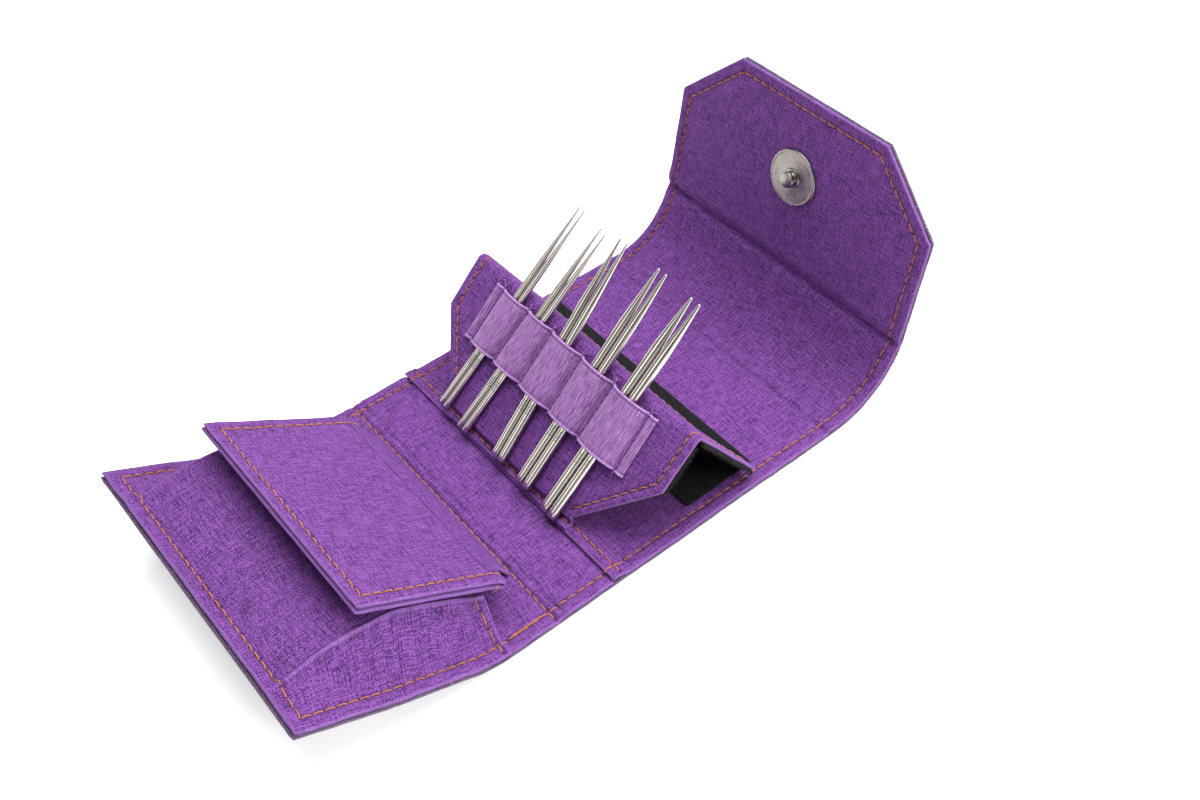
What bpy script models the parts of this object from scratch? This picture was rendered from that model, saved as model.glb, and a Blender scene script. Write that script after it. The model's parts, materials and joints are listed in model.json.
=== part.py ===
"""Interchangeable knitting needle set in a folding fabric case.

Metres, +Z up. +X runs along the case from the pocket panel to the closing flap and +Y points to the
back edge. The origin is the middle of the centre panel's underside, on the surface the case lies on.
"""

import math

import bmesh
import bpy
from mathutils import Matrix, Vector

# Driving dimensions of the case.
HALF_WIDTH = 0.054
CENTER_LENGTH = 0.084
FOLD_GAP = 0.001
CLOTH = 0.0006
BOARD = 0.001
GAP = 0.0003
BOARD_INSET = 0.0015
PANEL = 2 * CLOTH + BOARD + 2 * GAP

# Fold lines, at the height of the lining's face.
SPINE_FOLD_X = -CENTER_LENGTH / 2 - 0.0036
POCKET_FOLD_X = SPINE_FOLD_X - 0.0190
WRAP_FOLD_X = CENTER_LENGTH / 2

# Pocket panel: flat foot, soft bend at the second seam, then a slow curve up to its outer edge.
POCKET_FOOT = 0.014
POCKET_BEND_RADIUS = 0.026
POCKET_BEND = math.radians(22)
POCKET_RUN = 0.0585
POCKET_RUN_TURN = math.radians(9)

# Wrap panel, curved like the closed case's rounded end, and the closing flap on it.
WRAP_START = 0.004
WRAP_RADIUS = 0.0245
WRAP_TURN = math.radians(66)
WRAP_END = 0.005
CLOSING_SLOPE = math.radians(79)
CLOSING_SIDE = 0.037
CLOSING_LENGTH = 0.0585
CLOSING_TIP_HALF = 0.0304

# Pocket: one sheet with folded sides, open towards the spine, and the flap that covers its mouth.
# The crown gives the sheet's height above the ground at distances outwards from the mouth.
POCKET_HALF = 0.0385
POCKET_CLOTH = 0.0007
MOUTH_X = -0.0770
POCKET_CROWN = ((0.0, 0.0095), (0.0060, 0.0128), (0.0180, 0.0208), (0.0265, 0.0262),
                (0.0350, 0.0296), (0.0460, 0.0314), (0.0550, 0.0318), (0.0605, 0.0312))
FLAP_HALF = 0.0405
FLAP_FOLD = (POCKET_FOLD_X - 0.0006, PANEL + 0.0009)
FLAP_START = (POCKET_FOLD_X + 0.0002, PANEL + 0.0028)
FLAP_RISE = 0.0135
FLAP_RISE_SLOPE = math.radians(52)
FLAP_BEND_RADIUS = 0.012
FLAP_SLOPE = math.radians(33.5)
FLAP_RUN = 0.048

# Needle stand: a front leaf that carries the needles and a back leaf that props it up.
LEAF_CLOTH = 0.0005
LEAF_BOARD = 0.0008
LEAF = 2 * LEAF_CLOTH + LEAF_BOARD + 2 * GAP
STAND_HINGE = (-CENTER_LENGTH / 2 - 0.0008, PANEL + 0.0030)
STAND_SLOPE = math.radians(44.2)
FRONT_LEAF = 0.0438
LEAF_START = 0.0014
NECK_RUN = 0.0017
SHOULDER_RUN = 0.024
NECK_HALF = 0.0313
LEAF_HALF = 0.052
BACK_SLOPE = math.radians(-58)
BACK_LEAF = 0.035
RIDGE_GAP = 0.0008
STRIP_START = -CENTER_LENGTH / 2 - 0.0015
STRIP_LENGTH = 0.0018
STRIP_HEIGHT = 0.0007
PATCH_START = -CENTER_LENGTH / 2 + 0.0320
PATCH_LENGTH = 0.026
PATCH_HALF = 0.0476
PATCH_HEIGHT = 0.0006

# Elastic band: its edges along the leaf, and the seams that part it into loops.
BAND_FROM = 0.0224
BAND_TO = 0.0424
BAND_CLOTH = 0.0008
BAND_SEAMS = ((0.0355, 0.0350), (0.0262, 0.0246), (0.0114, 0.0110),
              (-0.0031, -0.0034), (-0.0181, -0.0178), (-0.0352, -0.0348))
BAND_TAB = 0.0022
BAND_CLEARANCE = 0.0003

# Needle tips, one row for each pair: diameter, taper length, how far up the leaf the base ends stand,
# and the pair's place across the leaf at its base and at its tip.
NEEDLE_LENGTH = 0.0765
PAIRS = ((0.0020, 0.024, 0.0009, 0.0308, 0.0249),
         (0.0022, 0.023, -0.0006, 0.0194, 0.0135),
         (0.0027, 0.022, 0.0007, 0.0016, 0.0050),
         (0.0029, 0.019, 0.0003, -0.0114, -0.0126),
         (0.0032, 0.018, -0.0006, -0.0247, -0.0276))
PAIR_GAP = 0.0003
SOCKET_DEPTH = 0.007
NEEDLE_SIDES = 12

# Snap: a stud on the closing flap and a socket in the pocket panel's outer face.
SNAP_FROM_FOLD = 0.0305
SOCKET_FROM_FOLD = 0.0571
SNAP_RADIUS = 0.0094
SOCKET_RADIUS = 0.0085
DISC_HEIGHT = 0.001
STUD_RADIUS = 0.0023
STUD_HEIGHT = 0.0024
FLANGE_RADIUS = 0.0032
BARREL_RADIUS = 0.0034
WASHER_RADIUS = 0.0055
WASHER_HEIGHT = 0.0007
WASHER_DROP = 0.00035
POST_RADIUS = 0.0012
SNAP_SIDES = 32

FLAT_TURN = math.radians(6)


def clear_scene():
    for obj in list(bpy.data.objects):
        bpy.data.objects.remove(obj)


def material(name, color, roughness, metallic=0.0):
    mat = bpy.data.materials.new(name)
    mat.use_nodes = True
    shader = mat.node_tree.nodes["Principled BSDF"]
    shader.inputs["Base Color"].default_value = (*color, 1)
    shader.inputs["Roughness"].default_value = roughness
    shader.inputs["Metallic"].default_value = metallic
    return mat


def hinge(name, place, parent=None):
    """An empty on a fold's axis, which runs along Y through place (x, z)."""
    empty = bpy.data.objects.new(name, None)
    bpy.context.collection.objects.link(empty)
    empty.empty_display_size = 0.01
    point = Vector((place[0], 0, place[1]))
    empty["axis_point"] = point
    empty.parent = parent
    empty.location = point - (Vector(parent["axis_point"]) if parent else Vector())
    return empty


def node(name, bm, mat, body=None, smooth=None):
    """Closes a bmesh, in the case's own coordinates, into an object on its body's hinge."""
    bmesh.ops.recalc_face_normals(bm, faces=bm.faces)
    if bm.calc_volume(signed=True) < 0:
        bmesh.ops.reverse_faces(bm, faces=bm.faces)
    mesh = bpy.data.meshes.new(name)
    if body:
        bmesh.ops.translate(bm, verts=bm.verts, vec=-Vector(body["axis_point"]))
    bm.to_mesh(mesh)
    bm.free()
    if smooth:
        mesh.shade_smooth()
        mesh.set_sharp_from_angle(angle=smooth)
    obj = bpy.data.objects.new(name, mesh)
    bpy.context.collection.objects.link(obj)
    obj.data.materials.append(mat)
    obj.parent = body
    return obj


def walk(start, heading, pieces):
    """Points (s, x, z, heading, half width) along pieces (length, turn, half width at the piece's end).

    A piece without a length marks the start, with its half width.
    """
    x, z = start
    s = 0.0
    points = []
    for length, turn, half in pieces:
        steps = max(1, math.ceil(abs(turn) / FLAT_TURN))
        for _ in range(steps if length else 0):
            step, bend = length / steps, turn / steps
            chord = step * math.sin(bend / 2) / (bend / 2) if bend else step
            x += chord * math.cos(heading + bend / 2)
            z += chord * math.sin(heading + bend / 2)
            heading += bend
            s += step
            points.append((s, x, z, heading, half))
        if not length:
            points.append((s, x, z, heading, half))
    return points


def ribbon(points, low, high, inset=0.0, up=1):
    """A layer that follows the points, from low to high along their upward normal."""
    bm = bmesh.new()
    rings = []
    for index, (_, x, z, heading, half) in enumerate(points):
        shift = inset if index == 0 else -inset if index == len(points) - 1 else 0.0
        x += shift * math.cos(heading)
        z += shift * math.sin(heading)
        nx, nz = -up * math.sin(heading), up * math.cos(heading)
        width = half - inset
        rings.append([bm.verts.new((x + n * nx, y, z + n * nz))
                      for y, n in ((-width, low), (width, low), (width, high), (-width, high))])
    loft(bm, rings)
    return bm


def loft(bm, rings):
    """Skins a row of equal closed rings and caps both ends."""
    for ring, following in zip(rings, rings[1:]):
        count = len(ring)
        for i in range(count):
            j = (i + 1) % count
            bm.faces.new((ring[i], ring[j], following[j], following[i]))
    bm.faces.new(rings[0])
    bm.faces.new(rings[-1])


def turned(profile, sides):
    """A closed solid turned about Z from a profile (radius, height) whose ends lie on the axis."""
    bm = bmesh.new()
    rings = []
    for radius, height in profile[1:-1]:
        rings.append([bm.verts.new((radius * math.cos(a), radius * math.sin(a), height))
                      for a in (2 * math.pi * k / sides for k in range(sides))])
    for ring, following in zip(rings, rings[1:]):
        for i in range(sides):
            j = (i + 1) % sides
            bm.faces.new((ring[i], ring[j], following[j], following[i]))
    for ring, (_, height) in ((rings[0], profile[0]), (rings[-1], profile[-1])):
        tip = bm.verts.new((0, 0, height))
        for i in range(sides):
            bm.faces.new((ring[i], ring[(i + 1) % sides], tip))
    return bm


def ring_solid(inner, outer, low, high, sides=SNAP_SIDES):
    """A flat ring about Z with a small chamfer on its upper rim."""
    bm = bmesh.new()
    rim = min(0.0003, (high - low) / 3)
    section = ((inner, low), (outer, low), (outer, high - rim), (outer - rim, high), (inner, high))
    rings = [[bm.verts.new((r * math.cos(a), r * math.sin(a), z)) for r, z in section]
             for a in (2 * math.pi * k / sides for k in range(sides))]
    for ring, following in zip(rings, rings[1:] + rings[:1]):
        for i in range(len(section)):
            j = (i + 1) % len(section)
            bm.faces.new((ring[i], ring[j], following[j], following[i]))
    return bm


def frame_at(place, heading, up=1, y=0.0):
    """Maps a turned part's Z onto the upward normal of a panel at place (x, z)."""
    along = Vector((math.cos(heading), 0, math.sin(heading)))
    normal = Vector((-up * math.sin(heading), 0, up * math.cos(heading)))
    across = normal.cross(along)
    matrix = Matrix((along, across, normal)).transposed().to_4x4()
    matrix.translation = Vector((place[0], y, place[1]))
    return matrix


def drill(obj, body, frame, radius, low, high):
    """Cuts a round hole through a panel layer."""
    bm = bmesh.new()
    bmesh.ops.create_cone(bm, cap_ends=True, segments=SNAP_SIDES, radius1=radius, radius2=radius,
                          depth=high - low)
    bmesh.ops.translate(bm, verts=bm.verts, vec=(0, 0, (high + low) / 2))
    bm.transform(frame)
    cutter = node(obj.name + "_cutter", bm, obj.data.materials[0], body)
    cutter.hide_render = True
    cutter.display_type = "WIRE"
    cut = obj.modifiers.new("hole", "BOOLEAN")
    cut.operation = "DIFFERENCE"
    cut.object = cutter


def panel(prefix, points, body, cloths, up=1):
    """Cover, board and lining of one case panel; the points run along the lining's face."""
    cover_mat, board_mat, lining_mat = cloths
    under = -PANEL
    cover = node(prefix + "_cover", ribbon(points, under, under + CLOTH, 0, up), cover_mat, body)
    board_low = under + CLOTH + GAP
    board = node(prefix + "_board", ribbon(points, board_low, board_low + BOARD, BOARD_INSET, up),
                 board_mat, body)
    lining = node(prefix + "_lining", ribbon(points, -CLOTH, 0, 0, up), lining_mat, body)
    return cover, board, lining


def leaf(prefix, points, body, mats, base=0.0):
    """Cloth, board and black lining of one stand leaf; base is the height of its outer face."""
    cloth_mat, board_mat, black_mat = mats
    node(prefix + "_cloth", ribbon(points, base - LEAF_CLOTH, base), cloth_mat, body)
    board_high = base - LEAF_CLOTH - GAP
    node(prefix + "_board", ribbon(points, board_high - LEAF_BOARD, board_high, BOARD_INSET), board_mat, body)
    node(prefix + "_lining", ribbon(points, base - LEAF, base - LEAF + LEAF_CLOTH), black_mat, body)


def pocket_points():
    """The pocket panel's lining face, from the fold outwards."""
    start = (POCKET_FOLD_X - FOLD_GAP, PANEL)
    return walk(start, math.pi, ((0, 0, HALF_WIDTH), (POCKET_FOOT, 0, HALF_WIDTH),
                                 (POCKET_BEND_RADIUS * POCKET_BEND, -POCKET_BEND, HALF_WIDTH),
                                 (POCKET_RUN, -POCKET_RUN_TURN, HALF_WIDTH)))


def along(points, distance):
    """(place, heading) at a distance along the points."""
    for (s0, x0, z0, h0, _), (s1, x1, z1, h1, _) in zip(points, points[1:]):
        if s0 <= distance <= s1:
            t = (distance - s0) / (s1 - s0)
            return (x0 + t * (x1 - x0), z0 + t * (z1 - z0)), math.atan2(z1 - z0, x1 - x0)
    raise ValueError(distance)


def height_at(points, x):
    """Height of a face that runs towards -X, at x."""
    for (_, x0, z0, _, _), (_, x1, z1, _, _) in zip(points, points[1:]):
        if x1 <= x <= x0:
            return z0 + (x - x0) / (x1 - x0) * (z1 - z0)
    raise ValueError(x)


def pocket_sheet(points, body, mat):
    """The pocket: a bulging front with two folded sides that stand on the panel, open at the mouth."""
    bm = bmesh.new()
    rings = []
    for outwards, top in POCKET_CROWN:
        x = MOUTH_X - outwards
        foot = height_at(points, x) + GAP
        inner, roof = POCKET_HALF - POCKET_CLOTH, top - POCKET_CLOTH
        section = ((-POCKET_HALF, foot), (-POCKET_HALF, top), (POCKET_HALF, top), (POCKET_HALF, foot),
                   (inner, foot), (inner, roof), (-inner, roof), (-inner, foot))
        rings.append([bm.verts.new((x, y, z)) for y, z in section])
    loft(bm, rings)
    return node("pocket_sheet", bm, mat, body)


def needle_mesh(diameter, taper):
    """A tapered tip with a socket in its base end, standing on the origin."""
    r = diameter / 2
    bore = 0.55 * r
    shank = NEEDLE_LENGTH - taper
    profile = ((0, SOCKET_DEPTH), (bore, SOCKET_DEPTH), (bore, 0), (r - 0.0002, 0), (r, 0.0002),
               (r, shank), (0.86 * r, shank + 0.30 * taper), (0.58 * r, shank + 0.66 * taper),
               (0.34 * r, NEEDLE_LENGTH - 0.0018), (0.20 * r, NEEDLE_LENGTH - 0.0004), (0, NEEDLE_LENGTH))
    return turned(profile, NEEDLE_SIDES)


def leaf_frame():
    """Axes of the front leaf's outer face: X up the leaf, Y across, Z away from it."""
    return frame_at(STAND_HINGE, STAND_SLOPE)


def needle_tips(body, mat):
    for pair, (diameter, taper, base, y_base, y_tip) in enumerate(PAIRS, start=1):
        lift = BAND_CLEARANCE + diameter / 2
        direction = Vector((NEEDLE_LENGTH, y_tip - y_base, 0)).normalized()
        side = Vector((0, 0, 1)).cross(direction)
        across = (diameter + PAIR_GAP) / 2
        for letter, sign in (("a", 1), ("b", -1)):
            start = Vector((base, y_base, lift)) + sign * across * side
            turn = Matrix((side.cross(direction), side, direction)).transposed().to_4x4()
            turn.translation = start
            bm = needle_mesh(diameter, taper)
            bm.transform(leaf_frame() @ turn)
            node(f"needle_tip_{pair}{letter}", bm, mat, body, smooth=math.radians(40))


def loop_outline(left, right, centre, diameter):
    """The elastic's middle line over one pair, from seam to seam, as (y, height) points going to -Y."""
    base = GAP + BAND_CLOTH / 2
    radius = diameter / 2 + BAND_CLEARANCE + BAND_CLOTH / 2
    across = (diameter + PAIR_GAP) / 2
    height = BAND_CLEARANCE + diameter / 2
    outline = [(left, base)]
    for middle, seam, sign in ((centre + across, left, 1), (centre - across, right, -1)):
        dy, dz = abs(seam - middle), base - height
        reach = math.hypot(dy, dz)
        tangent = math.atan2(dz, dy) + math.acos(min(1.0, radius / reach))
        angles = [tangent + (math.pi / 2 - tangent) * k / 3 for k in range(4)]
        arc = [(middle + sign * radius * math.cos(a), height + radius * math.sin(a)) for a in angles]
        outline += arc if sign > 0 else arc[::-1]
    return outline + [(right, base)]


def elastic_band(body, mat):
    """One flat elastic, sewn down between the pairs, so that it stands over them in five loops."""
    bm = bmesh.new()
    rings = []
    for end in (0, 1):
        s = (BAND_FROM, BAND_TO)[end]
        seams = [seam[end] for seam in BAND_SEAMS]
        middle = [(seams[0] + BAND_TAB, GAP + BAND_CLOTH / 2)]
        for (left, right), (diameter, _, base, y_base, y_tip) in zip(zip(seams, seams[1:]), PAIRS):
            centre = y_base + (y_tip - y_base) * (s - base) / NEEDLE_LENGTH
            middle += loop_outline(left, right, centre, diameter)[0 if left == seams[0] else 1:]
        middle.append((seams[-1] - BAND_TAB, GAP + BAND_CLOTH / 2))
        ring = []
        for side in (1, -1):
            for i, (y, n) in enumerate(middle):
                before, after = middle[max(i - 1, 0)], middle[min(i + 1, len(middle) - 1)]
                run = Vector((before[0] - after[0], before[1] - after[1])).normalized()
                offset = side * BAND_CLOTH / 2
                ring.append((s, y - offset * run[1], n + offset * run[0]))
        half = len(middle)
        ring = ring[:half] + ring[half:][::-1]
        rings.append([bm.verts.new(leaf_frame() @ Vector(p)) for p in ring])
    low, high = rings
    count, half = len(low), len(low) // 2
    for i in range(count):
        j = (i + 1) % count
        bm.faces.new((low[i], low[j], high[j], high[i]))
    for ring in rings:
        for i in range(half - 1):
            bm.faces.new((ring[i], ring[i + 1], ring[count - 2 - i], ring[count - 1 - i]))
    return node("elastic_band", bm, mat, body)


def snap_stud(points, body, nickel, board, lining):
    """Disc, stud and backing washer on the closing flap's lining."""
    place, heading = along(points, SNAP_FROM_FOLD)
    frame = frame_at(place, heading)
    washer_high = -CLOTH - WASHER_DROP
    washer = ring_solid(POST_RADIUS + 0.0004, WASHER_RADIUS, washer_high - WASHER_HEIGHT, washer_high)
    disc = ring_solid(POST_RADIUS + GAP, SNAP_RADIUS, GAP, DISC_HEIGHT)
    collar = DISC_HEIGHT + GAP
    crown = collar + STUD_HEIGHT
    stud = turned(((0, -CLOTH), (POST_RADIUS, -CLOTH), (POST_RADIUS, collar), (FLANGE_RADIUS, collar),
                   (FLANGE_RADIUS, collar + 0.0006), (STUD_RADIUS - 0.0003, collar + 0.0008),
                   (STUD_RADIUS, crown - 0.0006), (STUD_RADIUS - 0.0005, crown), (0, crown)), SNAP_SIDES)
    for name, bm in (("snap_washer", washer), ("snap_disc", disc), ("snap_stud", stud)):
        bm.transform(frame)
        node(name, bm, nickel, body, smooth=math.radians(40))
    drill(board, body, frame, WASHER_RADIUS + 0.0005, -PANEL, 0)
    drill(lining, body, frame, POST_RADIUS + GAP, -0.001, 0.001)


def snap_socket(points, body, nickel, cover, board):
    """Socket on the pocket panel's outer face, its barrel sunk through the cover and the board."""
    place, heading = along(points, SOCKET_FROM_FOLD)
    frame = frame_at(place, heading, up=-1)
    face = PANEL + 0.00045
    rim = face + 0.0011
    sunk = CLOTH + 0.0004
    inner = BARREL_RADIUS - 0.0006
    barrel = turned(((0, sunk), (BARREL_RADIUS, sunk), (BARREL_RADIUS, face), (SOCKET_RADIUS, face),
                     (SOCKET_RADIUS, rim - 0.0003), (SOCKET_RADIUS - 0.0004, rim), (inner + 0.0003, rim),
                     (inner, rim - 0.0003), (inner, sunk + 0.0004), (0, sunk + 0.0004)), SNAP_SIDES)
    barrel.transform(frame @ Matrix.Scale(-1, 4, (0, 0, 1)))
    node("snap_socket", barrel, nickel, body, smooth=math.radians(40))
    drill(cover, body, frame, BARREL_RADIUS + GAP, -PANEL - 0.001, -PANEL + CLOTH + 0.0002)
    drill(board, body, frame, BARREL_RADIUS + GAP, -PANEL + CLOTH, 0)


def build():
    clear_scene()
    lining = material("purple_lining", (0.20, 0.06, 0.34), 0.85)
    outer = material("heather_cover", (0.11, 0.06, 0.15), 0.9)
    board = material("grey_board", (0.35, 0.32, 0.28), 0.8)
    black = material("black_fleece", (0.008, 0.008, 0.009), 0.95)
    elastic = material("violet_elastic", (0.36, 0.15, 0.50), 0.75)
    steel = material("satin_steel", (0.62, 0.60, 0.57), 0.28, 1.0)
    nickel = material("nickel_snap", (0.66, 0.64, 0.62), 0.22, 1.0)
    case = (outer, board, lining)

    spine = hinge("spine_hinge", (SPINE_FOLD_X, PANEL))
    pocket = hinge("pocket_hinge", (POCKET_FOLD_X, PANEL), spine)
    flap = hinge("flap_hinge", FLAP_FOLD, pocket)
    wrap = hinge("wrap_hinge", (WRAP_FOLD_X, PANEL))

    start = SPINE_FOLD_X + FOLD_GAP
    center_run = walk((start, PANEL), 0, ((0, 0, HALF_WIDTH), (WRAP_FOLD_X - FOLD_GAP - start, 0, HALF_WIDTH)))
    panel("center", center_run, None, case)
    start = POCKET_FOLD_X + FOLD_GAP
    spine_run = walk((start, PANEL), 0, ((0, 0, HALF_WIDTH), (SPINE_FOLD_X - FOLD_GAP - start, 0, HALF_WIDTH)))
    panel("spine", spine_run, spine, case)

    pocket_run = pocket_points()
    cover, stiffener, _ = panel("pocket_panel", pocket_run, pocket, case, up=-1)
    snap_socket(pocket_run, pocket, nickel, cover, stiffener)
    pocket_sheet(pocket_run, pocket, lining)

    turn = FLAP_RISE_SLOPE - FLAP_SLOPE
    flap_run = walk(FLAP_START, math.pi - FLAP_RISE_SLOPE,
                    ((0, 0, FLAP_HALF), (FLAP_RISE - FLAP_BEND_RADIUS * turn, 0, FLAP_HALF),
                     (FLAP_BEND_RADIUS * turn, turn, FLAP_HALF), (FLAP_RUN, 0, FLAP_HALF)))
    board_high = -CLOTH - GAP
    stiff_run = [flap_run[-2], flap_run[-1]]
    node("pocket_flap_cloth", ribbon(flap_run, -CLOTH, 0, 0, -1), lining, flap)
    node("pocket_flap_board", ribbon(stiff_run, board_high - BOARD, board_high, BOARD_INSET, -1), board, flap)
    node("pocket_flap_under", ribbon(flap_run, -PANEL, -PANEL + CLOTH, 0, -1), lining, flap)

    wrap_run = walk((WRAP_FOLD_X + FOLD_GAP, PANEL), 0,
                    ((0, 0, HALF_WIDTH), (WRAP_START - FOLD_GAP, 0, HALF_WIDTH),
                     (WRAP_RADIUS * WRAP_TURN, WRAP_TURN, HALF_WIDTH), (WRAP_END - FOLD_GAP, 0, HALF_WIDTH)))
    panel("wrap", wrap_run, wrap, case)
    _, end_x, end_z, heading, _ = wrap_run[-1]
    fold = (end_x + FOLD_GAP * math.cos(heading), end_z + FOLD_GAP * math.sin(heading))
    closing = hinge("closing_hinge", fold, wrap)
    closing_start = (fold[0] + FOLD_GAP * math.cos(CLOSING_SLOPE), fold[1] + FOLD_GAP * math.sin(CLOSING_SLOPE))
    closing_run = walk(closing_start, CLOSING_SLOPE,
                       ((0, 0, HALF_WIDTH), (CLOSING_SIDE - FOLD_GAP, 0, HALF_WIDTH),
                        (CLOSING_LENGTH - CLOSING_SIDE, 0, CLOSING_TIP_HALF)))
    _, stiffener, inner_cloth = panel("closing_flap", closing_run, closing, case)
    snap_stud(closing_run, closing, nickel, stiffener, inner_cloth)

    patch_run = walk((PATCH_START, PANEL), 0, ((0, 0, PATCH_HALF), (PATCH_LENGTH, 0, PATCH_HALF)))
    node("hook_patch", ribbon(patch_run, GAP, GAP + PATCH_HEIGHT), black)
    strip_run = walk((STRIP_START, PANEL), 0, ((0, 0, NECK_HALF), (STRIP_LENGTH, 0, NECK_HALF)))
    node("stand_hinge_strip", ribbon(strip_run, GAP, GAP + STRIP_HEIGHT), lining)

    stand = hinge("stand_hinge", STAND_HINGE)
    front_start = leaf_frame() @ Vector((LEAF_START, 0, 0))
    top_run = FRONT_LEAF - RIDGE_GAP - LEAF_START - NECK_RUN - SHOULDER_RUN
    front_run = walk((front_start.x, front_start.z), STAND_SLOPE,
                     ((0, 0, NECK_HALF), (NECK_RUN, 0, NECK_HALF), (SHOULDER_RUN, 0, LEAF_HALF),
                      (top_run, 0, LEAF_HALF)))
    leaf("stand_front", front_run, stand, (lining, board, black))
    elastic_band(stand, elastic)
    needle_tips(stand, steel)

    ridge = leaf_frame() @ Vector((FRONT_LEAF, 0, -LEAF))
    back = hinge("ridge_hinge", (ridge.x, ridge.z), stand)
    back_start = (ridge.x + RIDGE_GAP * math.cos(BACK_SLOPE), ridge.z + RIDGE_GAP * math.sin(BACK_SLOPE))
    back_run = walk(back_start, BACK_SLOPE, ((0, 0, LEAF_HALF), (BACK_LEAF - RIDGE_GAP, 0, LEAF_HALF)))
    leaf("stand_back", back_run, back, (lining, board, black), base=LEAF)


build()
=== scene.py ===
"""Looks of the knitting needle set in its folding fabric case: sewn cloth, threads, elastic, steel.

Lengths are in millimetres until make_mesh. Every cloth is worked out flat, as (s, y): s runs along the case
or the leaf and y across it. A Path says where s lies in space, and a lift(s, y) gives the cloth's height off
that path and its painted shade there: above 0 darkens the needle holes, below 0 is a painted highlight.
"""

import itertools
import json
import math

import bpy
import numpy as np
from mathutils import Matrix, Vector


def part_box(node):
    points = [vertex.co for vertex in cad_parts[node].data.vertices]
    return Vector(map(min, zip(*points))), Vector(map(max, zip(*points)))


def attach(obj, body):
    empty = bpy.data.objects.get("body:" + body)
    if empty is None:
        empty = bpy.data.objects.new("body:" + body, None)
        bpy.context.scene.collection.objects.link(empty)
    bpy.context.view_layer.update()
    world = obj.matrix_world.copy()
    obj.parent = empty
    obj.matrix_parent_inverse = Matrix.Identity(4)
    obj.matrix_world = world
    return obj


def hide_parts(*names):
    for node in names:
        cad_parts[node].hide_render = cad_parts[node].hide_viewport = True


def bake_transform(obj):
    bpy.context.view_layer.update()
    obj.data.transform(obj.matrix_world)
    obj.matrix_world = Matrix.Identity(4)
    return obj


MM = 0.001              # metres in a millimetre
PANEL = 2.8             # a case panel's thickness, lining face to cover face
LEAF = 2.4              # a stand leaf's thickness
CLOTH = 0.6             # thickness of the case's cloth layers in the CAD
LEAF_CLOTH = 0.5        # and of the stand's
NOSE = 0.6              # radius of a turned edge
BORDER = 4.0            # from the case's edge to its seam
FLAP_BORDER = 3.6
LEAF_BORDER = 3.2
STITCH = 3.5            # from one needle hole to the next
THREAD = 0.19           # thread radius
SLANT = 0.10            # how far a stitch leans across its seam
SEAM_WIDTH = 0.75       # how far from a seam its dip reaches
HOLE = 0.55             # how far from a needle hole its dip reaches
FINE = 0.25             # step between grid lines near a seam or a fold

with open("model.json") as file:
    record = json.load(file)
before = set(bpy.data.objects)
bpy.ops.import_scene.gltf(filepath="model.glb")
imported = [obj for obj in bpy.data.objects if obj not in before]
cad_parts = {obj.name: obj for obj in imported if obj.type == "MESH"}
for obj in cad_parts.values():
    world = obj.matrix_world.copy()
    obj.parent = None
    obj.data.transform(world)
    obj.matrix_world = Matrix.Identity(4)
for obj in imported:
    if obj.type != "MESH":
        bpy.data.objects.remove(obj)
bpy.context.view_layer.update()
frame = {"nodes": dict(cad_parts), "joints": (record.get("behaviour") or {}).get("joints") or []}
JOINTS = {joint["name"]: joint for joint in frame["joints"]}
PIVOT = {name: np.array(joint["pos_m"]) / MM for name, joint in JOINTS.items() if joint["type"] == "hinge"}


# ---------------------------------------------------------------- paths and places

def corners(node):
    """Distinct corner points of a CAD node's mesh."""
    co = np.array([v.co for v in frame["nodes"][node].data.vertices], float)
    return np.unique(np.round(co / MM, 3), axis=0)


def stations(node, thickness):
    """(x, z, half width) along the upper face of a bent CAD layer, from -X to +X."""
    found = []
    for x, y, z in corners(node):
        same = [f for f in found if math.dist(f[:2], (x, z)) < 0.02]
        if same:
            same[0][2] = max(same[0][2], y)
        elif y > 20:
            found.append([x, z, y])
    through = [pair for pair in itertools.combinations(found, 2)
               if abs(math.dist(pair[0][:2], pair[1][:2]) - thickness) < 0.02]
    return sorted(tuple(max(pair, key=lambda f: f[1])) for pair in through)


def unit(v):
    return v / np.maximum(np.linalg.norm(v, axis=-1, keepdims=True), 1e-9)


def smooth(t):
    t = np.clip(t, 0, 1)
    return t * t * (3 - 2 * t)


def hump(away, width):
    """A soft bump, 1 where away is 0."""
    return np.exp(-(away / width) ** 2)


def humps(s, marks):
    """Creases and rolls right across a cloth, given as (height, place, width)."""
    return sum(height * hump(s - place, width) for height, place, width in marks)


def ripple(s, y, size, seed, waves=7):
    """Soft random waves of about that size, between -1 and 1."""
    rng = np.random.default_rng(seed)
    total = 0
    for _ in range(waves):
        turn = rng.uniform(0, math.tau)
        long = size * rng.uniform(0.7, 1.6)
        total = total + np.sin((s * math.cos(turn) + y * math.sin(turn)) * math.tau / long
                               + rng.uniform(0, math.tau))
    return total / waves * 1.6


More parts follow.
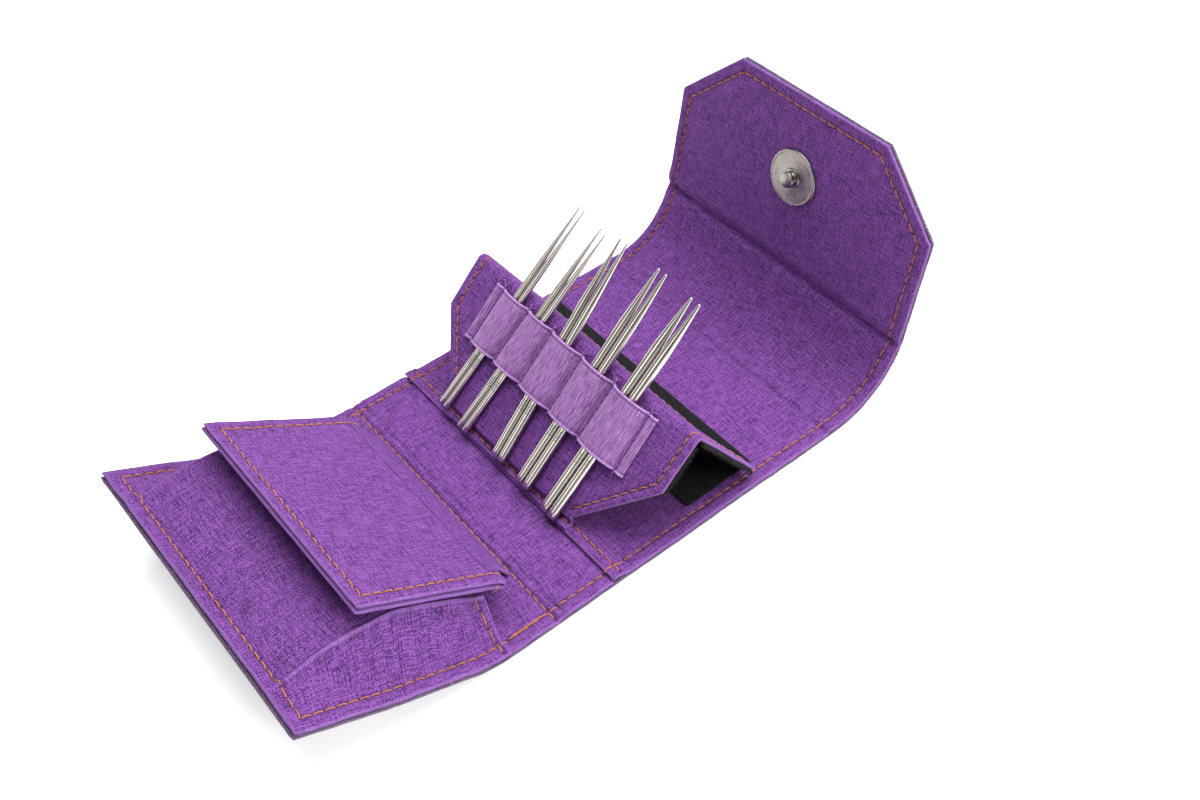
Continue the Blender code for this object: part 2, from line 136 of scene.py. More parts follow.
class Path:
    """A smooth line in the XZ plane for cloth to lie on, with the cloth's half width at each place."""

    STEP = 0.25

    def __init__(self, points, soft=1.4):
        rough = np.array(points, float)
        run = np.concatenate(([0], np.cumsum(np.hypot(*np.diff(rough[:, :2], axis=0).T))))
        place = np.linspace(0, run[-1], int(run[-1] / self.STEP) + 1)
        x, z, self.half = (np.interp(place, run, rough[:, k]) for k in range(3))
        reach = int(3 * soft / self.STEP)
        kernel = np.exp(-0.5 * (np.arange(-reach, reach + 1) * self.STEP / soft) ** 2)
        kernel /= kernel.sum()
        longer = [np.concatenate((2 * v[0] - v[reach:0:-1], v, 2 * v[-1] - v[-2:-reach - 2:-1]))
                  for v in (x, z)]
        self.x, self.z = (np.convolve(v, kernel, "valid") for v in longer)
        self.s = np.concatenate(([0], np.cumsum(np.hypot(np.diff(self.x), np.diff(self.z)))))
        self.head = np.unwrap(np.arctan2(np.gradient(self.z), np.gradient(self.x)))
        self.length = self.s[-1]

    def width(self, s):
        return np.interp(s, self.s, self.half)

    def heading(self, s):
        return np.interp(s, self.s, self.head)

    def place(self, s, y, h):
        """Points in space for flat places (s, y) at height h off the path."""
        s = np.asarray(s, float)
        head = self.heading(s)
        over = s - np.clip(s, 0, self.length)
        x = np.interp(s, self.s, self.x) + over * np.cos(head) - h * np.sin(head)
        z = np.interp(s, self.s, self.z) + over * np.sin(head) + h * np.cos(head)
        return np.stack((x, np.broadcast_to(y, x.shape), z), -1)

    def near(self, x, z):
        """s of the place on the path that is nearest to (x, z)."""
        return float(self.s[np.argmin((self.x - x) ** 2 + (self.z - z) ** 2)])


def offset_loop(points, inset):
    """A closed flat outline moved inwards by inset, with its corners mitred."""
    points = np.array(points, float)
    before, after = unit(points - np.roll(points, 1, 0)), unit(np.roll(points, -1, 0) - points)
    turned = (before + after)[:, ::-1] * (1, -1)
    return list(points + turned * inset / (1 + (before * after).sum(1, keepdims=True)))


def stitch_line(points, pitch=STITCH):
    """Stitches (start, end) along a flat line through the points."""
    stitches = []
    for a, b in zip(points, points[1:]):
        count = max(1, round(math.dist(a, b) / pitch))
        holes = np.linspace(a, b, count + 1)
        stitches += list(zip(holes, holes[1:]))
    return stitches


def cross_seam(s, half, pitch=STITCH):
    """A seam straight across a cloth."""
    return stitch_line([(s, half), (s, -half)], pitch)


def inside(stitches, low, high):
    return [(a, b) for a, b in stitches if low <= (a[0] + b[0]) / 2 < high]


def seam_dip(s, y, stitches, depth=0.30, hole=0.35):
    """How far sewn cloth is pulled in along its stitches, and the painted shade that darkens its needle
    holes.
    """
    dip, dark = np.zeros(s.shape), np.zeros(s.shape)
    for a, b in stitches:
        low, high = np.minimum(a, b) - 3 * SEAM_WIDTH, np.maximum(a, b) + 3 * SEAM_WIDTH
        near = (s > low[0]) & (s < high[0]) & (y > low[1]) & (y < high[1])
        if near.any():
            at = np.stack((s[near], y[near]), -1)
            t = np.clip((at - a) @ (b - a) / ((b - a) @ (b - a)), 0, 1)
            away = np.linalg.norm(at - a - t[:, None] * (b - a), axis=1)
            at_hole = hump(np.minimum(*(np.linalg.norm(at - end, axis=1) for end in (a, b))), HOLE)
            dip[near] = np.maximum(dip[near], depth * hump(away, SEAM_WIDTH) + hole * at_hole)
            dark[near] = np.maximum(dark[near], at_hole)
    return dip, dark


# ---------------------------------------------------------------- meshes

def make_mesh(name, points, faces, mat, weave=None, shade=None):
    mesh = bpy.data.meshes.new(name)
    mesh.from_pydata((np.array(points, float) * MM).tolist(), [], faces)
    mesh.materials.append(mat)
    mesh.shade_smooth()
    if weave is not None:
        attribute = mesh.attributes.new("weave", "FLOAT_VECTOR", "POINT")
        attribute.data.foreach_set("vector", np.asarray(weave, np.float32).ravel())
    if shade is not None:
        attribute = mesh.attributes.new("shade", "FLOAT", "POINT")
        attribute.data.foreach_set("value", np.asarray(shade, np.float32))
    obj = bpy.data.objects.new(name, mesh)
    bpy.context.scene.collection.objects.link(obj)
    return obj


def skin(rings, sides, capped=True):
    """Faces over rings of points, each with that many sides, and over both ends."""
    faces = []
    for i, k in itertools.product(range(rings - 1), range(sides)):
        low, high, j = i * sides, (i + 1) * sides, (k + 1) % sides
        faces.append([low + k, low + j, high + j, high + k])
    if capped:
        faces += [list(range(sides))[::-1], list(range((rings - 1) * sides, rings * sides))]
    return faces


def turned_edge(radius, tuck):
    """Steps (outward, height) of an edge that rolls under and runs back in by tuck."""
    angles = [math.radians(a) for a in (60, 30, 0, -30, -60, -90)]
    return [(radius * math.cos(a), radius * math.sin(a) - radius) for a in angles] + [(-tuck, -2 * radius)]


def lines(low, high, step, fine=()):
    """Grid lines from low to high, closer together near the fine places."""
    marks = list(np.linspace(low, high, max(2, int(round((high - low) / step)) + 1)))
    for place in fine:
        marks += [m for m in np.arange(place - 1.6, place + 1.6 + FINE / 2, FINE) if low < m < high]
    marks = np.unique(np.round(marks, 4))
    kept = [marks[0]]
    for m in marks[1:-1]:
        if m - kept[-1] > 0.6 * FINE and marks[-1] - m > 0.5 * FINE:
            kept.append(m)
    return np.array(kept + [marks[-1]])


def edge_offsets(seam):
    """Distances from the edge for the lines across a cloth: close together at the edge and the seam."""
    return np.concatenate((np.arange(0, 1.2, 0.3), np.arange(1.2, seam - 1.4, 0.6),
                           np.arange(seam - 1.4, seam + 1.5, FINE), (seam + 2.2, seam + 3.2, seam + 4.5)))


def cloth_rows(half, seam, middle_step, crease):
    """y of every grid point: one row for each half width, close together along the edges and the crease."""
    border = edge_offsets(seam)
    middle = half.max() - border[-1]
    shares = np.linspace(-1, 1, max(2, int(2 * middle / middle_step)) + 1)[1:-1]
    if crease:
        close = (crease + np.arange(-8, 9) * FINE) / middle
        clear = np.abs(np.abs(shares) - close[8]) > close[16] - close[8]
        shares = np.sort(np.concatenate((shares[clear], close, -close)))
    rows = [np.concatenate((border - h, shares * (h - border[-1]), (h - border)[::-1])) for h in half]
    return np.array(rows)


def cloth(name, path, s_lines, lift, mat, ends=(), radius=NOSE, tuck=1.3, side=1, seam=BORDER,
          middle_step=1.5, width=None, warp=None, level=0.0, weave_shift=(0, 0), crease=None, wave=0.11):
    """A sheet on a path, with its sides turned under, and those of its ends (start, end) that are named.
    side is -1 for a cloth that faces away from the path's upper side."""
    if "start" in ends:
        first = s_lines[0] + radius
        s_lines = np.concatenate(([first], s_lines[s_lines > first + 0.15]))
    if "end" in ends:
        last = s_lines[-1] - radius
        s_lines = np.concatenate((s_lines[s_lines < last - 0.15], [last]))
    half = np.broadcast_to((width or path.width)(s_lines), s_lines.shape) - radius
    y = cloth_rows(half, seam, middle_step, crease)
    far_apart = np.sign(y) * 9000
    y = y + wave * np.sign(y) * ripple(s_lines[:, None], far_apart, 8, 91) * (np.abs(y) / half.max()) ** 8
    s = np.repeat(s_lines[:, None], y.shape[1], 1)
    if warp:
        s = warp(s, y)
    high, shade = (v.ravel() for v in lift(s, y))
    index = np.arange(s.size).reshape(s.shape)
    faces = np.stack((index[:-1, :-1], index[:-1, 1:], index[1:, 1:], index[1:, :-1]), -1).reshape(-1, 4)
    faces = (faces[:, ::-1] if side > 0 else faces).tolist()
    flat = woven = np.stack((s.ravel(), y.ravel()), -1)

    left, right = list(index[:, 0]), list(index[::-1, -1])
    far, near = list(index[-1, 1:-1]), list(index[0, -2:0:-1])
    rims = {(): (left, right), ("start",): (right + near + left,), ("end",): (left + far + right,),
            ("start", "end"): (left + far + right + near,)}[ends]
    closed = len(ends) == 2
    for rim in rims:
        ahead = np.roll(flat[rim], -1, 0) - flat[rim]
        behind = np.roll(ahead, 1, 0)
        if not closed:
            ahead[-1], behind[0] = behind[-1], ahead[0]
        ahead, behind = unit(ahead), unit(behind)
        normal = unit((ahead + behind)[:, ::-1] * (-1, 1))
        mitre = (normal * behind[:, ::-1] * (-1, 1)).sum(1, keepdims=True)
        outward = normal * np.minimum(1.25, 1 / np.maximum(0.3, mitre))
        sign = 1 if outward[0, 1] * flat[rim[0], 1] > 0 else -1
        ring, before, run = rim, (0.0, 0.0), 0.0
        for step in turned_edge(radius, tuck):
            run += math.dist(step, before)
            inner, ring, before = ring, list(range(len(flat), len(flat) + len(rim))), step
            flat = np.concatenate((flat, flat[rim] + sign * step[0] * outward))
            woven = np.concatenate((woven, woven[rim] + sign * run * outward))
            high = np.concatenate((high, high[rim] + step[1]))
            # the outer half of each turned edge gets shade -1, which the cloth materials paint as a highlight
            shade = np.concatenate((shade, np.full(len(rim), -1.0 if step[0] > 0 else 0.0)))
            for a in range(len(rim) if closed else len(rim) - 1):
                b = (a + 1) % len(rim)
                quad = [int(inner[a]), int(inner[b]), ring[b], ring[a]]
                faces.append(quad if sign == side else quad[::-1])
    points = path.place(*flat.T, level + side * high)
    weave = np.column_stack((woven * MM + weave_shift, np.zeros(len(flat))))
    return make_mesh(name, points, faces, mat, weave, shade)


def stand_in(piece, nodes=(), body=None):
    """Says which CAD nodes a piece is shown instead of and which body it rides."""
    if nodes:
        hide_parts(*nodes)
    if body:
        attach(piece, body)


def declare(piece, nodes, flat, body=None):
    """The same for a sheet. Its flat width and length are turned into metres, and nothing more is done with
    them.
    """
    stand_in(piece, nodes, body)
    flat = tuple(round(float(side) * MM, 4) for side in flat)


class Threads:
    """Gathers stitches, knots and loose ends into one mesh."""

    SHARES = np.array((0.03, 0.12, 0.28, 0.5, 0.72, 0.88, 0.97))
    RISE = np.array((-0.5, 0.05, 0.22, 0.27, 0.22, 0.05, -0.5))
    THICK = np.array((0.8, 1.0, 1.08, 1.1, 1.08, 1.0, 0.8))

    def __init__(self):
        self.points, self.faces, self.weave = [], [], []

    def tube(self, line, radii, up, sides=7):
        """A thin tube through the points; up points away from the cloth."""
        line = np.array(line, float)
        run = unit(np.concatenate((line[1:2] - line[:1], line[2:] - line[:-2], line[-1:] - line[-2:-1])))
        across = unit(np.cross(up, run))
        over = np.cross(run, across)
        angles = np.arange(sides)[:, None] * math.tau / sides
        around = np.cos(angles) * across[:, None] + np.sin(angles) * over[:, None]
        rings = line[:, None] + np.broadcast_to(radii, len(line))[:, None, None] * around
        length = np.concatenate(([0], np.cumsum(np.linalg.norm(np.diff(line, axis=0), axis=1)))) * MM
        base = len(self.points)
        self.points += rings.reshape(-1, 3).tolist()
        self.weave += [(r, k / sides, 0) for r in length for k in range(sides)]
        self.faces += [[base + i for i in face] for face in skin(len(line), sides)]

    def stitches(self, path, stitches, lift, side=1, level=0.0, radius=THREAD):
        """Lays one thread bump for each stitch onto a cloth."""
        for a, b in stitches:
            middle = a + (b - a) * self.SHARES[:, None]
            sideways = unit((b - a)[::-1] * (-1, 1))
            flat = middle + sideways * SLANT * (1 - 2 * self.SHARES[:, None])
            height = level + side * (lift(*middle.T)[0] + self.RISE)
            line = path.place(*flat.T, height)
            self.tube(line, radius * self.THICK, path.place(*flat.T, height + side) - line)

    def build(self, name, mat):
        return make_mesh(name, self.points, self.faces, mat, self.weave)


def sew(name, path, stitches, lift, **more):
    """A seam's orange thread as one piece."""
    threads = Threads()
    threads.stitches(path, stitches, lift, **more)
    return threads.build(name, ORANGE)


# ---------------------------------------------------------------- materials

class Material:
    """A node material under construction. The same works for the world's nodes."""

    def __init__(self, name, owner=None, shader="Principled BSDF"):
        self.mat = owner or bpy.data.materials.new(name)
        self.mat.use_nodes = True
        self.tree = self.mat.node_tree
        self.shader = self.tree.nodes[shader]

    def set(self, **values):
        for key, value in values.items():
            self.put(self.shader.inputs[key.replace("_", " ")], value)
        return self.mat

    def put(self, socket, value):
        if isinstance(value, bpy.types.NodeSocket):
            self.tree.links.new(value, socket)
        elif isinstance(value, tuple) and len(value) == 3 and socket.type == "RGBA":
            socket.default_value = (*value, 1)
        else:
            socket.default_value = value

    def add(self, kind, inputs=(), **settings):
        made = self.tree.nodes.new("ShaderNode" + kind)
        for key, value in settings.items():
            setattr(made, key, value)
        for key, value in dict(inputs).items():
            self.put(made.inputs[key], value)
        return made

    def math(self, operation, a, b=0.0):
        return self.add("Math", {0: a, 1: b}, operation=operation).outputs[0]

    def times(self, a, b):
        return self.math("MULTIPLY", a, b)

    def plus(self, a, b):
        return self.math("ADD", a, b)

    def wave(self, value, turn):
        return self.math("SINE", self.times(value, turn))

    def woven_place(self):
        return self.add("Attribute", attribute_name="weave").outputs["Vector"]

    def shade(self):
        return self.add("Attribute", attribute_name="shade").outputs["Fac"]

    def position(self):
        return self.add("NewGeometry").outputs["Position"]

    def parts(self, vector):
        return self.add("SeparateXYZ", {0: vector}).outputs

    def noise(self, vector, scale, detail=2.0, roughness=0.5):
        """Noise; a scale of three numbers stretches it along the axes."""
        if isinstance(scale, tuple):
            vector = self.add("VectorMath", {0: vector, 1: scale}, operation="MULTIPLY").outputs[0]
            scale = 1.0
        return self.add("TexNoise", {"Vector": vector, "Scale": scale, "Detail": detail,
                                     "Roughness": roughness}).outputs["Fac"]

    def ramp(self, value, low=0.0, high=1.0, start=0.0, end=1.0):
        """start where the value is low, end where it is high."""
        return self.add("MapRange", {"Value": value, "From Min": low, "From Max": high,
                                     "To Min": start, "To Max": end}).outputs[0]

    def mix(self, share, a, b):
        made = self.add("Mix", data_type="RGBA")
        for socket, value in zip((made.inputs[0], made.inputs[6], made.inputs[7]), (share, a, b)):
            self.put(socket, value)
        return made.outputs[2]

    def bump(self, height, distance, strength):
        inputs = {"Height": height, "Distance": distance * MM, "Strength": strength}
        return self.add("Bump", inputs).outputs[0]


# edge is the colour of the painted highlight on turned edges and on the pocket's fold
def woven(name, dark, light, fleck, fleck_share=0.35, edge=(0.36, 0.19, 0.52)):
    """Slubby plain-weave cloth: threads of uneven thickness and colour over and under each other, with a
    painted highlight on turned edges and painted shade in needle holes.
    """
    pitch = 0.50 * MM
    m = Material(name)
    flat, shade = m.woven_place(), m.shade()
    drift = m.times(m.math("SUBTRACT", m.noise(flat, 420.0, 3.0), 0.5), 0.9 * pitch)
    parts = m.parts(flat)
    turn = math.pi / pitch
    cross = m.times(m.wave(m.plus(parts[0], drift), turn), m.wave(m.math("SUBTRACT", parts[1], drift), turn))
    ridges = m.math("ABSOLUTE", cross)
    along_s = m.noise(flat, (190.0, 2300.0, 1.0), 3.0, 0.62)
    along_y = m.noise(flat, (2300.0, 190.0, 1.0), 3.0, 0.62)
    speckle = m.noise(flat, 1700.0, 2.0, 0.7)
    blotch = m.noise(flat, 70.0, 3.0, 0.6)
    choice = {0: m.ramp(cross, -0.35, 0.35), 2: along_s, 3: along_y}
    threads = m.add("Mix", choice, data_type="FLOAT").outputs[0]
    tone = m.plus(m.times(threads, 0.66), m.times(speckle, 0.34))
    colour = m.mix(m.ramp(tone, 0.41, 0.585), dark, light)
    colour = m.mix(m.ramp(m.noise(flat, (900.0, 1300.0, 1.0)), 0.56, 0.72, end=fleck_share), colour, fleck)
    colour = m.mix(m.ramp(blotch, 0.35, 0.75, end=0.16), colour, light)
    colour = m.mix(m.ramp(ridges, 0.40, 0.0, end=0.55), colour, tuple(0.35 * c for c in dark))
    # painted highlight: where shade is below 0 (turned edges, the pocket's fold) the colour goes towards edge
    colour = m.mix(m.ramp(shade, 0.0, -1.0, end=0.28), colour, edge)
    # painted shade: needle holes (shade above 0) are darkened towards a deep tone of the cloth
    colour = m.mix(m.ramp(shade, end=0.75), colour, tuple(0.2 * c for c in dark))
    height = m.plus(m.times(ridges, 0.55), m.times(threads, 0.9))
    return m.set(Base_Color=colour, Roughness=m.ramp(threads, 0.3, 0.7, 0.95, 0.75), Specular_IOR_Level=0.16,
                 Sheen_Weight=0.06, Sheen_Roughness=0.45, Sheen_Tint=(0.62, 0.34, 0.95),
                 Normal=m.bump(height, 0.24, 0.9))


def elastic_material():
    """Ribbed lilac elastic: fine ribs across its length, a slight gloss on the threads."""
    m = Material("elastic_lilac")
    flat, shade = m.woven_place(), m.shade()
    parts = m.parts(flat)
    wobble = m.times(m.math("SUBTRACT", m.noise(flat, 300.0), 0.5), 0.12 * MM)
    rib = m.ramp(m.wave(m.plus(parts[1], wobble), math.tau / (0.62 * MM)), -1.0)
    knit = m.wave(parts[0], math.tau / (0.40 * MM))
    tone = m.noise(flat, (250.0, 1900.0, 1.0), 3.0, 0.6)
    colour = m.mix(m.ramp(tone, 0.36, 0.64), (0.195, 0.072, 0.250), (0.485, 0.245, 0.565))
    colour = m.mix(m.ramp(rib, 0.65, 0.0, end=0.85), colour, (0.080, 0.020, 0.120))
    # painted highlight on the rounded beads
    colour = m.mix(m.ramp(shade, -0.2, -1.0, end=0.40), colour, (0.50, 0.27, 0.62))
    # painted shade in the grooves, on the underside and where the band is sewn down
    colour = m.mix(m.ramp(shade, end=0.8), colour, (0.06, 0.012, 0.11))
    return m.set(Base_Color=colour, Roughness=m.ramp(tone, start=0.5, end=0.75), Specular_IOR_Level=0.4,
                 Sheen_Weight=0.2, Sheen_Roughness=0.4, Sheen_Tint=(0.85, 0.7, 0.95),
                 Normal=m.bump(m.plus(m.times(rib, 0.8), m.times(knit, 0.15)), 0.16, 0.9))


def thread_material(name, dark, light):
    """Twisted sewing thread."""
    m = Material(name)
    parts = m.parts(m.woven_place())
    twist = m.plus(m.times(parts[0], math.tau / (0.55 * MM)), m.times(parts[1], math.tau))
    strand = m.ramp(m.math("SINE", twist), -1.0)
    tone = m.noise(m.position(), 900.0)
    colour = m.mix(m.times(m.plus(strand, tone), 0.5), dark, light)
    return m.set(Base_Color=colour, Roughness=m.ramp(tone, start=0.4, end=0.65), Specular_IOR_Level=0.45,
                 Sheen_Weight=0.15, Normal=m.bump(strand, 0.08, 0.7))


def fleece_material(name, dark, light):
    """Black brushed loop cloth with grey specks that are partly lint and partly a painted highlight on the
    pile.
    """
    m = Material(name)
    place = m.position()
    pile = m.noise(place, 2600.0, 4.0, 0.7)
    colour = m.mix(m.ramp(pile, 0.35, 0.7), dark, light)
    # grey specks: partly lint, partly painted highlight on the pile
    colour = m.mix(m.ramp(m.noise(place, 900.0, 3.0, 0.6), 0.64, 0.78, end=0.5), colour, (0.055, 0.05, 0.058))
    return m.set(Base_Color=colour, Roughness=m.ramp(pile, start=0.85), Specular_IOR_Level=0.08,
                 Sheen_Weight=0.03, Sheen_Roughness=0.5, Normal=m.bump(pile, 0.4, 0.9))


def board_material():
    m = Material("grey_board")
    fibre = m.noise(m.position(), (400.0, 2500.0, 2500.0), 4.0, 0.6)
    return m.set(Base_Color=m.mix(fibre, (0.20, 0.17, 0.14), (0.42, 0.37, 0.31)),
                 Roughness=m.ramp(fibre, start=0.75, end=0.95), Normal=m.bump(fibre, 0.1, 0.6))


def steel_material():
    """Satin steel, polished along the needle, with faint handling marks; broad lighter and darker bands along
    the needle in its colour are painted reflections.
    """
    m = Material("satin_steel_polished")
    flat = m.woven_place()
    # painted reflection: broad light and dark bands running along the needle
    painted_reflection_bands = m.noise(flat, (9.0, 8.0, 1.0), 1.0)
    marks = m.noise(flat, (60.0, 5.0, 1.0), 3.0)
    colour = m.mix(m.ramp(painted_reflection_bands, 0.3, 0.7), (0.52, 0.485, 0.435), (0.68, 0.64, 0.585))
    return m.set(Base_Color=colour, Metallic=1.0,
                 Roughness=m.plus(m.ramp(marks, start=0.15, end=0.22), m.times(painted_reflection_bands, 0.04)))


def nickel_material(name, low, high):
    """Pressed and plated metal with a fine hammered grain."""
    m = Material(name)
    place = m.position()
    haze = m.noise(place, 350.0, 3.0)
    colour = m.mix(m.ramp(haze, 0.3, 0.7), (0.22, 0.203, 0.183), (0.30, 0.28, 0.255))
    return m.set(Base_Color=colour, Metallic=1.0, Roughness=m.ramp(haze, start=low, end=high),
                 Normal=m.bump(m.noise(place, 2600.0, 3.0, 0.6), 0.006, 0.2))


def floor_material():
    """Pale floor with a painted glow: its emission lightens the shadows on it, and grows far away so that it
    meets the sky without a line.
    """
    m = Material("pale_floor")
    place = m.position()
    away = m.add("VectorMath", {0: place}, operation="LENGTH").outputs["Value"]
    colour = m.mix(m.noise(place, 40.0, 3.0), (0.86, 0.86, 0.865), (0.89, 0.89, 0.895))
    # painted glow: emission that lightens the floor's shadows, stronger far away
    return m.set(Base_Color=colour, Roughness=0.9, Specular_IOR_Level=0.2, Emission_Color=(1.0, 1.0, 1.0),
                 Emission_Strength=m.ramp(away, 0.25, 1.6, 0.40, 0.80))


LINING = woven("purple_weave", (0.034, 0.006, 0.068), (0.262, 0.090, 0.392), (0.022, 0.013, 0.034))
# the cover's edge colour is its painted highlight on turned edges
COVER = woven("heather_weave", (0.030, 0.018, 0.040), (0.13, 0.09, 0.15), (0.40, 0.37, 0.38),
              fleck_share=0.75, edge=(0.24, 0.17, 0.29))
ELASTIC = elastic_material()
ORANGE = thread_material("orange_thread", (0.20, 0.042, 0.010), (0.58, 0.195, 0.048))
VIOLET = thread_material("violet_thread", (0.045, 0.010, 0.10), (0.24, 0.085, 0.40))
FLEECE = fleece_material("black_fleece_cloth", (0.0025, 0.0025, 0.003), (0.020, 0.019, 0.022))
# the pile fibres are lighter than the cloth: partly lint, partly painted highlight
LINT_AND_SHEEN = fleece_material("black_fleece_pile", (0.012, 0.012, 0.014), (0.075, 0.07, 0.078))
BOARD = board_material()
MARK = thread_material("engraved_mark", (0.012, 0.011, 0.010), (0.035, 0.032, 0.030))
STEEL = steel_material()
NICKEL = nickel_material("nickel_plate", 0.20, 0.36)


# ---------------------------------------------------------------- the case


def bend(piece, parent, child, joint):
    """Bakes a piece's place into its mesh. The fold between the two panels runs along Y."""
    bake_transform(piece)


FOLDS = (("pocket_panel", "spine", "pocket_panel_fold"), ("spine", "center_panel", "spine_fold"),
         ("center_panel", "wrap_panel", "wrap_fold"), ("wrap_panel", "closing_flap", "closing_flap_fold"))
PANELS = (("pocket_panel",), ("spine",), ("center",), ("wrap", "closing_flap"))    # that each cloth covers

case = Path([place for panel in sum(PANELS, ()) for place in stations(panel + "_lining", CLOTH)])
S_FOLDS = S_POCKET, S_SPINE, S_WRAP, S_CLOSING = [case.near(*PIVOT[joint][::2]) for _, _, joint in FOLDS]
STRIP = S_SPINE + 2.0               # where the centre panel's lining starts, with its edge turned
STRIP_EDGE = STRIP - 0.6
STRIP_SEAM = STRIP + 3.3
FOLD_SEAM = S_POCKET + 0.6          # seam between pocket panel and spine
MOUTH = case.near(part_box("pocket_sheet")[1].x / MM, 0.0)
HEM_SEAM = MOUTH - 4.6
FULL = float(case.width(S_SPINE))
TIP = float(case.half[-1])
SIDE_END = float(case.s[np.argmax(case.half < FULL - 0.05)])
CORNERS = (FULL - TIP) * (case.length - SIDE_END)      # area that the closing flap's two cut corners lack
SPLITS = (0.0, (S_POCKET + S_SPINE) / 2, (S_SPINE + S_WRAP) / 2, (S_WRAP + S_CLOSING) / 2, case.length)
END = math.inf


def split_at(points, places):
    """Puts a corner into a flat line wherever it crosses one of the places along s."""
    made = [points[0]]
    for a, b in zip(points, points[1:]):
        cuts = sorted((p - a[0]) / (b[0] - a[0]) for p in places if (p - a[0]) * (p - b[0]) < 0)
        made += [a + (b - a) * t for t in cuts] + [b]
    return made


loop = offset_loop(((0, FULL), (SIDE_END, FULL), (case.length, TIP),
                    (case.length, -TIP), (SIDE_END, -FULL), (0, -FULL)), BORDER)
BORDER_STITCHES = stitch_line(split_at(loop + loop[:1], (HEM_SEAM, FOLD_SEAM, STRIP_EDGE, STRIP_SEAM)))
FOLD_STITCHES = cross_seam(FOLD_SEAM, FULL - 1.5)
STRIP_STITCHES = cross_seam(STRIP_SEAM, FULL - 1.5)
HEM_STITCHES = sum((stitch_line([(HEM_SEAM + 1.2, sign * 30), (HEM_SEAM, sign * (FULL - 1.5))])
                    for sign in (1, -1)), [])
FOLD_CREASES = ((-0.50, FOLD_SEAM, 1.0), (-0.28, FOLD_SEAM + 2.6, 0.7), (0.22, FOLD_SEAM + 4.2, 1.2))
WRAP_CREASES = ((-0.50, S_WRAP, 1.0), (0.35, S_WRAP + 1.9, 1.1))


def edge_puff(y, amount=0.22):
    """Padding between the border seam and the edge, and the cloth's slight sag towards the edge."""
    inset = FULL - np.abs(y)
    return amount * hump(inset - 2.2, 1.3) - 0.35 * np.exp(-inset / 0.9)


def lining_base(s, y):
    return 0.10 * ripple(s, y, 16, 3) + 0.05 * ripple(s, y, 5, 4) + edge_puff(y) + humps(s, WRAP_CREASES)


def lining_lift(s, y):
    """Lining of pocket panel, spine, wrap and closing flap."""
    at_edge = 0.3 + 0.7 * smooth((FULL - np.abs(y)) / 4)
    closing = 0.35 * hump(s - S_CLOSING - 3.6, 1.8) - 1.8 * at_edge * hump(s - S_CLOSING, 1.5)
    dip, dark = seam_dip(s, y, BORDER_STITCHES + FOLD_STITCHES)
    return lining_base(s, y) + humps(s, FOLD_CREASES) + closing - dip, dark


def under_strip_lift(s, y):
    """The spine's lining, which runs on below the centre panel's turned edge."""
    h, dark = lining_lift(s, y)
    return h - 0.35 * smooth((s - STRIP + 1.2) / 0.8), dark


def center_lift(s, y):
    """The centre panel's lining starts as a raised turned edge that is sewn down."""
    raised = 0.95 * (1 - smooth((s - STRIP_SEAM - 0.4) / 1.6)) + 0.30 * hump(s - STRIP - 1.5, 1.0)
    dip, dark = seam_dip(s, y, BORDER_STITCHES + STRIP_STITCHES)
    return lining_base(s, y) + raised - dip, dark


def cover_lift(s, y):
    """The cover seen from outside: heights count outwards."""
    flat = smooth((s - S_POCKET) / 2) * (1 - smooth((s - S_WRAP) / 4))
    h = (0.10 * ripple(s, y, 18, 8) + edge_puff(y, 0.15)) * (1 - flat) - 0.12 * flat
    dip, dark = seam_dip(s, y, BORDER_STITCHES + FOLD_STITCHES + STRIP_STITCHES, depth=0.2, hole=0.25)
    return h - dip, dark


def narrow(low, high):
    """The case's half width, drawn in between low and high where another cloth forms the edge."""
    return lambda s: case.width(s) - 1.9 * smooth((s - low + 0.4) / 0.4) * (1 - smooth((s - high) / 0.4))


def case_cloth(name, number, layer, grid, lift, ends, board, turned=0, cut=None, **more):
    """One cloth of the case's lining or cover, over the fold of that number."""
    mat, slot = (LINING, "purple_lining") if layer == "lining" else (COVER, "heather_cover")
    piece = cloth(name, case, grid, lift, mat, ends, **more)
    bend(piece, *FOLDS[number])
    declare(piece, [f"{panel}_{layer}" for panel in PANELS[number]], (110, grid[-1] - grid[0] + turned))


def build_lining():
    """Four cloths, each over one fold, and the threads that go through them."""
    _, pocket_end, _, center_end, end = SPLITS
    pieces = (
        (2.4, pocket_end, (FOLD_SEAM, FOLD_SEAM + 2.4, pocket_end - 0.5), lining_lift, (),
         narrow(-END, MOUTH - 2.6)),
        (pocket_end, STRIP + 3, (S_SPINE, pocket_end + 0.5), under_strip_lift, (), narrow(STRIP + 0.3, END)),
        (STRIP, center_end, (STRIP_SEAM, S_WRAP, center_end - 0.5), center_lift, ("start",), None),
        (center_end, end, (S_CLOSING, center_end + 0.5, SIDE_END, end - BORDER), lining_lift, ("end",), None))
    for number, (low, high, fine, lift, ends, width) in enumerate(pieces):
        panel = PANELS[number][-1]
        case_cloth("lining_" + panel, number, "lining", lines(low, high, 1.2, fine), lift, ends, panel,
                   turned=2 * len(ends), cut=CORNERS if number == 3 else None, width=width)

    seams = BORDER_STITCHES + FOLD_STITCHES
    shift = np.array((0.5 * STITCH, 0.28))
    backtack = [stitch + shift for stitch in np.array(inside(BORDER_STITCHES, MOUTH - 1, FOLD_SEAM - 4))
                if stitch[0, 1] < 0]
    for number, (stitches, lift) in enumerate((
            (inside(seams, HEM_SEAM, pocket_end) + backtack, lining_lift),
            (inside(seams, pocket_end, STRIP_EDGE), lining_lift),
            (inside(BORDER_STITCHES, STRIP_EDGE, center_end) + STRIP_STITCHES, center_lift),
            (inside(seams, center_end, END), lining_lift))):
        bend(sew(f"lining_thread_{number + 1}", case, stitches, lift), *FOLDS[number])


